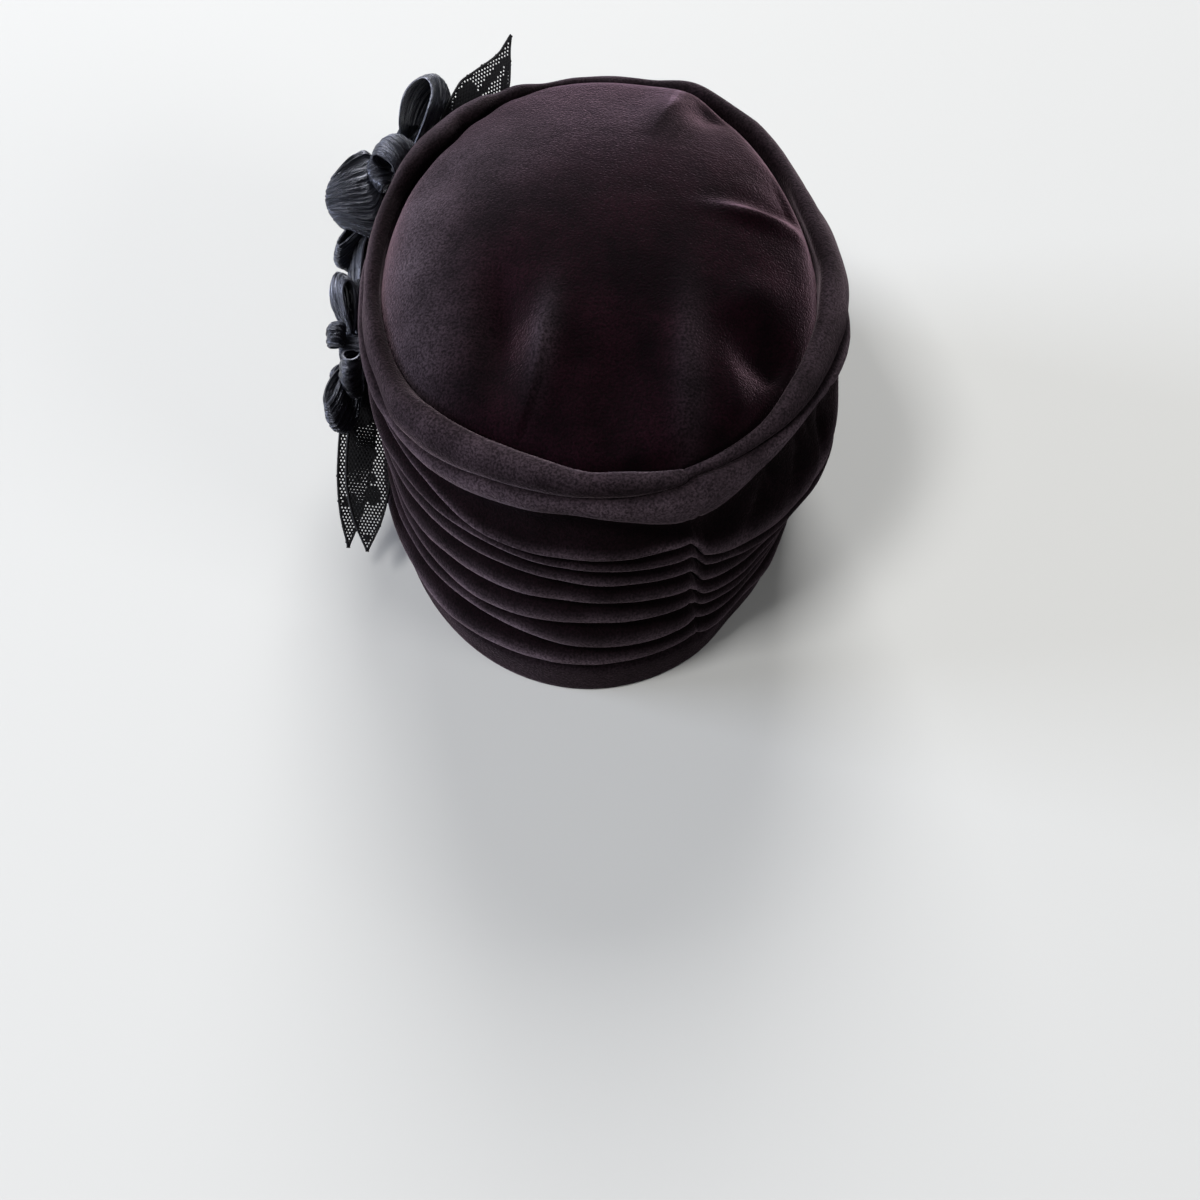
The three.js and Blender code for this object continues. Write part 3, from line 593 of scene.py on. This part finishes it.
def join_degrees(up):
    """Where the drape's join is at a distance up the wall: a straight line from the rim to the seam."""
    return JOIN["bottom"] + (JOIN["top"] - JOIN["bottom"]) * up / SEAM_UP


def groove_rows(degrees):
    """Distance up the wall of the crown seam and of the groove under each fold, at each angle.

    Round the join the folds change from one side's heights to the other's over a short way."""
    rows = [seam_row(degrees)]
    for *_, ups in FOLDS:
        join = join_degrees(np.mean(ups))
        places = [0, JOIN["start"], join - JOIN["half_jump"], join + JOIN["half_jump"], JOIN["end"], 360]
        stations = [0, JOIN["start"], JOIN["near"], JOIN["far"], JOIN["end"], 360]
        rows.append(round_row(STATIONS, ups, np.interp(degrees, places, stations)))
    return rows


def drape_folds(angle, grooves):
    """Rows of the drape from the crown seam down: distance up the wall, how far out the groove's floor lies,
    how far the cloth stands out from it, and its painted light: a pale highlight on the lips, painted shade
    in the grooves.

    Each fold's section is stretched between its two grooves and stands out to its lip, less where the fold is
    narrow. The first one blends into a valley along part of the seam."""
    rows = []
    above = DRAPE["seam_out"]
    for number, (section, lip, below, _) in enumerate(FOLDS):
        high, low = grooves[number], grooves[number + 1]
        depth = lip - (above + below) / 2
        share = np.clip((high - low) / (DRAPE["fold_width"] * depth), DRAPE["least"], DRAPE["most"])
        lively = 1 + ripple(angle, *LIP_WANDER, number)
        spots = spline(section, DRAPE["fold_rows"] + 1)[:-1, :, None] + 0 * angle
        if section is RIDGE:
            soft = np.exp(-((np.degrees(angle) - SOFT_SEAM[0]) / SOFT_SEAM[1]) ** 2)
            spots = spots + (spline(VALLEY, DRAPE["fold_rows"] + 1)[:-1, :, None] - spots) * soft
        up = high + (low - high) * spots[:, 0]
        floor = above + (below - above) * np.clip(spots[:, 0], 0, 1)
        out = spots[:, 1] * depth * share * lively
        # Painted light from the section's third column, made uneven along each fold.
        painted_light = spots[:, 2] * (1 + ripple(angle, *PAINTED_LIGHT_WANDER, number))
        rows.append(np.stack([up, floor, out, painted_light]))
        above = below
    return np.concatenate(rows, axis=1)


def drape_creases(degrees, up):
    """Depth of the drape's creases: a bell curve of the distance to each crease that fades to its ends."""
    total = np.zeros_like(up)
    for path, depth, half in DRAPE_CREASES:
        line = spline(path, CREASE_POINTS) * [WALL_DEGREE, 1]
        gap, _, fade = nearest_of(line, degrees * WALL_DEGREE, up)
        away = np.hypot(gap[..., 0], gap[..., 1]) / half
        total = total + depth * fade * np.exp(-away * away)
    return total


def side_drape(look):
    """The slot's wall and then fold after fold, pinched at the join (bell curves of the angle to it), with
    small rumples and a few creases; then the plain inner face closes the ring."""
    columns = DRAPE["columns"]
    angle = angles_round(columns)
    degrees = np.degrees(angle)
    grooves = groove_rows(degrees)
    up, floor, out, painted_light = drape_folds(angle, grooves)
    from_join = degrees - join_degrees(up)
    near, line = (np.exp(-(from_join / JOIN[half]) ** 2) for half in ("half_angle", "line_angle"))
    out = out * (1 - JOIN["pinch"] * near) - JOIN["crease"] * line * (out > 0)
    rumples = patch_noise(degrees / 360, up / SEAM_UP, *RUMPLE["cells"], RUMPLE["seed"])
    out = out + RUMPLE["height"] * rumples * smooth(out, 0, RUMPLE["full_at"])
    out = out - drape_creases(degrees, up)
    lowest, top = grooves[-1], grooves[0]
    slot = (round_row(SLOT[:, 0], SLOT[:, 1], degrees) + SLOT_WALL["deeper"])[:, None] * [0, 0, 1]
    wall = [wall_point(angle, top, DRAPE["seam_out"]) - slot * share for share in SLOT_WALL["shares"]]
    outer = np.concatenate([np.stack(wall), wall_point(angle, up, floor + out)])
    inner = [(lowest, DRAPE["edge_out"] + DRAPE["edge_turn"])]
    inner += [(lowest + DRAPE["edge_rise"], DRAPE["edge_out"])]
    inner += [(row + 0 * top, depth) for row, depth in DRAPE_INNER]
    inner += [(top - DRAPE["inner_fall"], DRAPE["inner_out"])]
    inside = [wall_point(angle, row, depth) for row, depth in inner]
    corner_out = DRAPE["seam_out"] - DRAPE["corner_in"]
    inside.append(wall_point(angle, top - DRAPE["corner_fall"], corner_out) - slot)
    points = np.concatenate([outer, np.stack(inside)])
    # Painted light only on the folds; the slot's wall and the inner face get none.
    painted_light_rows = np.concatenate([np.zeros((len(wall), columns)), painted_light, np.zeros((len(inside), columns))])
    quads = grid_quads(len(points), columns, close_rows=True)
    points = points.reshape(-1, 3)
    piece = add_piece("side_drape", points, quads, NO_TRIANGLES, look, "velvet", painted_light=painted_light_rows)
    cloth, girth = area_of(points, grid_quads(len(outer) + 1, columns)), girth_of(angle)


def hem_band(look):
    """Plain upright band: its outer face runs down to the rim and its inner face back up, and a smooth step
    draws both in behind the lowest fold."""
    columns = HEM["columns"]
    angle = angles_round(columns)
    lowest = groove_rows(np.degrees(angle))[-1]
    start, end = lowest - HEM["tuck_start"], lowest - HEM["tuck_end"]
    hidden_rows = [(HEM["top"] - end) * (1 - s) + end for s in HEM["hidden_shares"]]
    tuck_rows = [end + (start - end) * s for s in np.linspace(0, 1, HEM["tuck_rows"])]
    plain_rows = [start * (1 - s) for s in HEM["plain_shares"]]
    outer = [(row, 0.0) for row in [*hidden_rows, *tuck_rows, *plain_rows]]
    ground = np.zeros_like(angle)
    rim = [(ground, HEM["rounding"]), (ground, HEM["thickness"] - HEM["rounding"])]
    inner_rows = [start * HEM["inner_share"], start, end, *hidden_rows[::-1]]
    inner = [(row, HEM["thickness"]) for row in inner_rows]
    rows, painted_light_rows = [], []
    for up, depth in [*outer, *rim, *inner]:
        tuck = smooth((up - start) / (end - start), 0, 1)
        # Painted light: a little on the outer face and rim, fading out into the tuck, which stays in painted
        # shade under the lowest fold; none on the inner face.
        painted_light_rows.append(HEM["painted_light"] * (1 - tuck) * (depth < HEM["thickness"]))
        point = wall_point(angle, up, HEM["out"] + (HEM["tucked"] - HEM["out"]) * tuck - depth)
        point[:, 2] = np.where(up == 0, 0, point[:, 2])
        rows.append(point)
    points = np.stack(rows)
    quads = grid_quads(len(points), columns, close_rows=True)
    points = points.reshape(-1, 3)
    piece = add_piece("hem_band", points, quads, NO_TRIANGLES, look, "velvet", painted_light=np.stack(painted_light_rows))
    cloth, girth = area_of(points, grid_quads(len(outer) + 1, columns)), girth_of(angle)


def crown_height(x, y):
    """Height of the crown's dents and ridges: ovals, and creases whose height falls off as a narrow bell
    curve on one side of a line and a wide one on the other."""
    total = ovals(x, y, DENTS)
    for path, height, steep, soft in CREASES:
        line = spline(path, CREASE_POINTS)
        along = np.gradient(line, axis=0)
        gap, number, fade = nearest_of(line, x, y)
        side = along[number, 0] * gap[..., 1] - along[number, 1] * gap[..., 0]
        away = np.hypot(gap[..., 0], gap[..., 1]) / np.where(side > 0, steep, soft)
        total = total + height * fade * np.exp(-away * away)
    return total


def crown_panel(look):
    """Domed panel: each ring is the seam's outline drawn in towards the middle by its share. The dome's
    height falls with the square of the share, the edge dips by a high power of it, a difference of two powers
    makes the left fuller, and beyond the seam the cloth laps under the drape."""
    columns = CROWN["columns"]
    angle = angles_round(columns)
    seam = seam_row(np.degrees(angle))
    drop, power = (round_row(SLOT[:, 0], row, np.degrees(angle)) for row in SLOT[:, 1:].T)
    edge = wall_point(angle, seam, CROWN["edge_out"]) - drop[:, None] * [0, 0, 1]
    lap = wall_point(angle, seam - CROWN["lap"], CROWN["lap_out"]) - [0, 0, CROWN["lap_drop"]]
    even = ring_point(SEAM, angle) - [0, 0, CROWN["edge_dip"]]
    leftward = np.clip(np.cos(angle), 0, 1) ** 2
    middle = np.array([0, SEAM[3], SEAM[0] - SEAM[4] * SEAM[3] - CROWN["edge_dip"]])

    def ring(share, depth):
        point = middle + (even + (edge - even) * share ** CROWN["edge_power"] - middle) * share
        dip = CROWN["edge_dip"] * (1 - share ** power)
        fade = 1 - smooth(share, CROWN["dent_fade"], 1)
        dents = crown_height(point[:, 0], point[:, 1]) * fade
        fuller = CROWN["shoulder"] * leftward * (share ** 2 - share ** CROWN["shoulder_power"])
        point[:, 2] += CROWN["dome"] * (1 - share * share) + dip + fuller + dents - depth
        return point

    outward = 1 - (1 - np.linspace(0, 1, CROWN["rows"] + 1)[1:]) ** CROWN["row_bias"]
    inward = np.linspace(1, 0, CROWN["inner_rows"] + 1)[:-1]
    under = [0, 0, CROWN["thickness"]]
    rings = [ring(share, 0.0) for share in outward]
    rings += [edge + (lap - edge) * CROWN["lap_share"], lap, lap - under]
    rings += [ring(share, CROWN["thickness"]) for share in inward]
    grid = np.stack(rings)
    points = np.concatenate([grid.reshape(-1, 3), ring(0.0, 0.0)[:1], ring(0.0, CROWN["thickness"])[:1]])
    quads, triangles = grid_quads(len(grid), columns), end_fans(len(grid) * columns, columns)
    # Painted light from its table: pale on the lit left side, the front and two ridge crests.
    painted_light = ovals(points[:, 0], points[:, 1], PAINTED_LIGHT_SPOTS)
    piece = add_piece("crown_panel", points, quads, triangles, look, "velvet", painted_light=painted_light)


def blossom_axes(name):
    """Origin of a blossom on the wall, and its directions out from the wall, back round the hat and up."""
    angle, up, stand = BLOSSOMS[name]
    angle = np.radians(angle)
    origin = wall_point(angle, up, stand)
    out = origin - wall_point(angle, up, 0.0)
    out[2] = 0
    out = out / np.linalg.norm(out)
    rise = np.array([0, 0, 1.0])
    return origin, out, np.cross(rise, out), rise


def turned(axes, turn, lean=0.0, spin=0.0):
    """Directions along, across and out of a piece that leaves the blossom at a turn.

    It leans out from the wall, then spins about its own length."""
    _, out, back, rise = axes
    turn, lean, spin = np.radians([turn, lean, spin])
    flat = back * np.cos(turn) + rise * np.sin(turn)
    side = np.cross(out, flat)
    along = flat * np.cos(lean) + out * np.sin(lean)
    face = np.cross(along, side)
    return along, side * np.cos(spin) - face * np.sin(spin), face * np.cos(spin) + side * np.sin(spin)


def ring_of(across):
    """Places round a flat section: over the top, round one edge, back under and round the other.

    Each is (share across, side), with side 1 above, -1 below and between them at the rounded edges."""
    lean = np.linspace(QUARTER, -QUARTER, EDGE_POINTS)[1:-1]
    right, left = np.stack([1 + 0 * lean, np.sin(lean)], 1), np.stack([-1 + 0 * lean, -np.sin(lean)], 1)
    top, under = np.stack([across, across * 0 + 1], 1), np.stack([across[::-1], across * 0 - 1], 1)
    return np.concatenate([top, right, under, left])


def petal(name, blossom, row, seed, look):
    """Ribbon loop that fans out from the knot, arched across, with fine gathers along its length.

    The loop's curve runs out over the top, round the tip and back under. The half width grows as a sine to
    the widest place and then eases to the tip, the arch is 1 - share^2, and the gathers are random
    ridges across the ribbon, 0.5 - |noise| high, that change slowly along it."""
    turn, lean, spin, length, width, floor, height, slip, widest, tip = row
    axes = blossom_axes(blossom)
    along, side, face = turned(axes, turn, lean, spin)
    base, reach = PETAL["base_radius"], length - PETAL["base_radius"]
    path = spline([(base + reach * a, height * o) for a, o in LOOP], PETAL["steps"])
    tangent = np.gradient(path, axis=0)
    tangent /= np.linalg.norm(tangent, axis=1, keepdims=True)
    way = np.clip((path[:, :1] - base) / reach, 0, 1)
    fanned = np.sin(QUARTER * np.clip(way / widest, 0, 1)) * (1 - (1 - tip) * smooth(way, widest, 1))
    half = (PETAL["gather"] + (width - PETAL["gather"]) * fanned) / 2
    threads = max(PETAL["fewest"], round(width / PETAL["thread"]))
    spots = ring_of(np.linspace(-1, 1, threads * PETAL["samples"] + 1))
    share, side_of = spots[:, 0][None, :], spots[:, 1][None, :]
    drift = PETAL["drift"] * np.sin(PETAL["drift_turn"] * way + seed) * (1 - share ** 2)
    run = np.concatenate([[0], np.cumsum(np.linalg.norm(np.diff(path, axis=0), axis=1))])
    crossing = (share + drift + 1) / 2
    lines = patch_noise(run[:, None] / run[-1] / 2 + 0 * share, crossing, PETAL["cells"], threads, seed)
    gathers = PETAL["thread_depth"] * (0.5 - np.abs(lines)) * np.sqrt(fanned)
    arch = PETAL["cup"] * fanned * np.maximum(tangent[:, :1], 0) * (1 - share ** 2)
    shift = arch + side_of * PETAL["thickness"] / 2 + gathers
    rounding = PETAL["tip_round"] * half * way ** PETAL["tip_sharpness"] * share ** 2
    reach_out = path[:, :1] - tangent[:, 1:] * shift - rounding
    stand_out = path[:, 1:] + tangent[:, :1] * shift
    across = share * half + slip * np.sin(QUARTER * np.clip(way / PETAL["slip_end"], 0, 1))
    root = axes[0] + axes[1] * floor
    rings = root + along * reach_out[..., None] + side * across[..., None] + face * stand_out[..., None]
    points, quads, triangles = tube_ends(rings)
    own_threads = seed * PETAL["base_radius"]
    uv = np.stack([own_threads + share * width / 2 + 0 * way, run[:, None] + 0 * share], -1).reshape(-1, 2)
    uv = np.concatenate([uv, uv[:1], uv[-1:]])
    piece = add_piece(name, points, quads, triangles, look, "ribbon", uv)


def knot(name, blossom, look):
    """Stub of wound ribbon: a rounded profile turned about the blossom's axis, ribbed by a cosine."""
    axes = blossom_axes(blossom)
    profile = spline(KNOT_PROFILE, KNOT["rows"])
    angle = angles_round(KNOT["sides"])
    rib = 1 + KNOT["rib"] / KNOT["radius"] * np.cos(KNOT["ribs"] * angle)
    radius = KNOT["radius"] * profile[:, :1] * rib
    along, side, out = turned(axes, 0)
    flat = along * np.cos(angle)[:, None] + side * np.sin(angle)[:, None]
    rings = axes[0] + radius[..., None] * flat + (KNOT["height"] * profile[:, 1])[:, None, None] * out
    points, quads, triangles = tube_ends(rings)
    round_it, along_it = angle * KNOT["radius"], profile[:, 1] * KNOT["wound"]
    uv = np.stack([np.tile(round_it, KNOT["rows"]), np.repeat(along_it, len(angle))], 1)
    uv = np.concatenate([uv, uv[:1], uv[-1:]])
    add_piece(name, points, quads, triangles, look, "ribbon", uv)


def leaf_edges(t, below, above):
    """Half widths of a leaf below and above its middle line: smooth curves through two short tables."""
    return (hermite(*np.array(row, float).T, t) for row in (below, above))


def lace_net(name, length, below, above, laid):
    """Points and quads of a leaf's net: six-sided cells, nearly closed up in the dense patches.

    Cells stand on a lattice in the flat leaf, whose columns lie one and a half corner lengths apart, every
    second one half a cell on. Each cell is a band between its corners and a smaller hole, with an upper and
    an under face joined round the hole. A wall joins them along edges that only one cell has."""
    base, pitch, corner = LEAF["base_radius"], LEAF["pitch"], LEAF["pitch"] / np.sqrt(3)
    columns = np.arange(int((length - base) / (1.5 * corner)) + 2)
    i, j = np.meshgrid(columns, np.arange(-LEAF["half_cells"], LEAF["half_cells"] + 1), indexing="ij")
    a = base + i.ravel() * 1.5 * corner
    c = (j.ravel() + (i.ravel() % 2) / 2) * pitch
    t = (a - base) / (length - base)
    low_edge, high_edge = leaf_edges(np.clip(t, 0, 1), below, above)
    inside = (t < 1) & (c > LEAF["margin"] - low_edge) & (c < high_edge - LEAF["margin"])
    a, c = a[inside], c[inside]
    dense = np.zeros(len(a), bool)
    for share, *patch in MOTIFS[name]:
        dense |= oval_reach(a, c, base + share * (length - base), *patch) < 1
    hole = np.where(dense, LEAF["closed"], LEAF["hole"])
    turns = angles_round(CELL_SIDES)
    corner_a = a[:, None] + corner * np.cos(turns)
    corner_c = c[:, None] + corner * np.sin(turns)
    keys = np.round(np.stack([corner_a.ravel(), corner_c.ravel()], 1), 3)
    flat, numbers = np.unique(keys, axis=0, return_inverse=True)
    numbers = numbers.reshape(-1, CELL_SIDES)
    hole_a = (a[:, None] + corner * hole[:, None] * np.cos(turns)).ravel()
    hole_c = (c[:, None] + corner * hole[:, None] * np.sin(turns)).ravel()
    thick = LEAF["thickness"] / 2
    points = np.concatenate([
        laid(flat[:, 0], flat[:, 1], thick), laid(flat[:, 0], flat[:, 1], -thick),
        laid(hole_a, hole_c, thick), laid(hole_a, hole_c, -thick),
    ])
    corners = len(flat)
    holes = 2 * corners + np.arange(len(hole_a)).reshape(-1, CELL_SIDES)
    low = holes + len(hole_a)
    after = np.roll(np.arange(CELL_SIDES), -1)
    top = np.stack([numbers, numbers[:, after], holes[:, after], holes], -1)
    under = np.stack([numbers + corners, low, low[:, after], numbers[:, after] + corners], -1)
    wall = np.stack([holes, holes[:, after], low[:, after], low], -1)
    pairs = np.sort(np.stack([numbers, numbers[:, after]], -1).reshape(-1, 2), axis=1)
    _, back, uses = np.unique(pairs, axis=0, return_inverse=True, return_counts=True)
    lone = (uses[back.ravel()] == 1).reshape(-1, CELL_SIDES)
    here, there = numbers[lone], numbers[:, after][lone]
    rim = np.stack([here, here + corners, there + corners, there], -1)
    quads = np.concatenate([top.reshape(-1, 4), under.reshape(-1, 4), wall.reshape(-1, 4), rim])
    return points, quads


def lace_leaf(name, row, look):
    """Leaf of net lace with a solid tape along each edge: a flat section carried along the edge's curve.

    The flat leaf is turned about its middle line by a smooth step and lifted with the square of the way."""
    blossom, turn, length, start, rise, twist, below, above = row
    axes = blossom_axes(blossom)
    along, side, out = turned(axes, turn)
    base = LEAF["base_radius"]

    def laid(a, c, h):
        t = (a - base) / (length - base)
        spin = np.radians(twist) * smooth(t, LEAF["twist_start"], LEAF["twist_end"])
        across = c * np.cos(spin) - h * np.sin(spin)
        lift = start + rise * t * t + c * np.sin(spin) + h * np.cos(spin)
        return axes[0] + along * a[..., None] + side * across[..., None] + out * lift[..., None]

    points, quads = lace_net(name, length, below, above, laid)
    way = np.linspace(0.0, 1.0, LEAF["tape_steps"])
    line = base + way * (length - base)
    widths = list(leaf_edges(way, below, above))
    triangles = []
    for hand, half in zip((-1, 1), widths):
        middle = np.maximum(half - LEAF["edge"] / 2, LEAF["tape_least"])
        across = hand * middle[:, None] + hand * TAPE_SECTION[:, 0] * LEAF["edge"]
        tape = laid(line[:, None] + 0 * across, across, TAPE_SECTION[:, 1] + 0 * across)
        more, faces, ends = tube_ends(tape[:, ::hand])
        quads = np.concatenate([quads, faces + len(points)])
        triangles.append(ends + len(points))
        points = np.concatenate([points, more])
    piece = add_piece(name, points, quads, np.concatenate(triangles), look, "lace")


def photo_camera():
    """Camera at the photo's place: looks along place to aim, then rolls about its own line of sight."""
    place, aim = (Vector(CAMERA[k]) * MM + Vector(HAT_ORIGIN) for k in ("place", "aim"))
    forward = (aim - place).normalized()
    level = forward.cross(Vector((0, 0, 1))).normalized()
    upright = level.cross(forward)
    roll = np.radians(CAMERA["roll"])
    right = level * np.cos(roll) + upright * np.sin(roll)
    up = right.cross(forward)
    lens = bpy.data.cameras.new("photo_camera")
    lens.lens, lens.sensor_width, lens.sensor_fit = CAMERA["lens"], CAMERA["sensor"], "HORIZONTAL"
    lens.clip_start, lens.clip_end = CAMERA["near"], CAMERA["far"]
    camera = bpy.data.objects.new("photo_camera", lens)
    camera.matrix_world = Matrix((right, up, -forward)).transposed().to_4x4()
    camera.location = place
    bpy.context.scene.collection.objects.link(camera)
    bpy.context.scene.camera = camera


def area_light(name, place, size, power, colour):
    """Square soft light that faces the hat."""
    lamp = bpy.data.lights.new(name, "AREA")
    lamp.size, lamp.energy, lamp.color = size, power, to_linear(colour)[:3]
    light = bpy.data.objects.new(name, lamp)
    light.location = place
    light.rotation_euler = (Vector(LIGHT_AIM) - Vector(place)).to_track_quat("-Z", "Y").to_euler()
    bpy.context.scene.collection.objects.link(light)


def studio():
    """Pale plain floor, a sky that brightens upwards, and soft lights: one high on the left, a broad one from
    beyond the front, a cool one low on the left and a weak fill from the right."""
    look, _, _ = new_material("pale_floor", {
        "Base Color": to_linear("#c0c0be"), "Roughness": 0.85, "Specular IOR Level": 0.1})
    mesh = bpy.data.meshes.new("floor")
    low, high = -FLOOR_REACH, FLOOR_REACH
    mesh.from_pydata([(low, low, 0), (high, low, 0), (high, high, 0), (low, high, 0)], [], [(0, 1, 2, 3)])
    mesh.materials.append(look)
    floor = bpy.data.objects.new("floor", mesh)
    floor.location.z = -FLOOR_DROP
    bpy.context.scene.collection.objects.link(floor)
    floor.visible_diffuse = False
    world = bpy.data.worlds.new("studio")
    world.use_nodes = True
    sky = world.node_tree
    back = sky.nodes["Background"]
    place = add_node(sky, "ShaderNodeTexCoord", {}).outputs["Generated"]
    way = add_node(sky, "ShaderNodeSeparateXYZ", {"Vector": place})
    fall = add_node(sky, "ShaderNodeMapRange", {
        "Value": way.outputs["Z"], "From Min": -0.05, "From Max": 0.5, "To Min": 0.01, "To Max": 0.1})
    back.inputs["Color"].default_value = to_linear("#f2f4f8")
    sky.links.new(fall.outputs["Result"], back.inputs["Strength"])
    bpy.context.scene.world = world
    for light in LIGHTS:
        area_light(*light)
    view = bpy.context.scene.view_settings
    view.view_transform, view.look = "Standard", "None"


# The same velvet twice, with different sheens and painted-light colours: paler painted highlights on the
# drape's lips than on the crown.
crown_velvet = cotton_velvet("cotton_velvet_crown", sheen=0.5, spread=0.27, tint="#ffd0e4",
                             dark="#050002", light="#120409", painted_light_colour="#3c353b")
drape_velvet = cotton_velvet("cotton_velvet_drape", sheen=0.2, spread=0.34, tint="#ffe2ee",
                             dark="#050102", light="#0d0508", painted_light_colour="#594c54")
ribbon, lace = viscose_ribbon(), cotton_lace()
photo_camera()
studio()
crown_panel(crown_velvet)
side_drape(drape_velvet)
hem_band(drape_velvet)
for blossom, rows in PETALS.items():
    knot(f"{blossom}_blossom_knot", blossom, ribbon)
    for number, row in enumerate(rows, 1):
        petal(f"{blossom}_blossom_petal_{number}", blossom, row, PETAL["first_seed"] + number, ribbon)
for name, row in LEAVES.items():
    lace_leaf(name, row, lace)

bpy.context.view_layer.update()
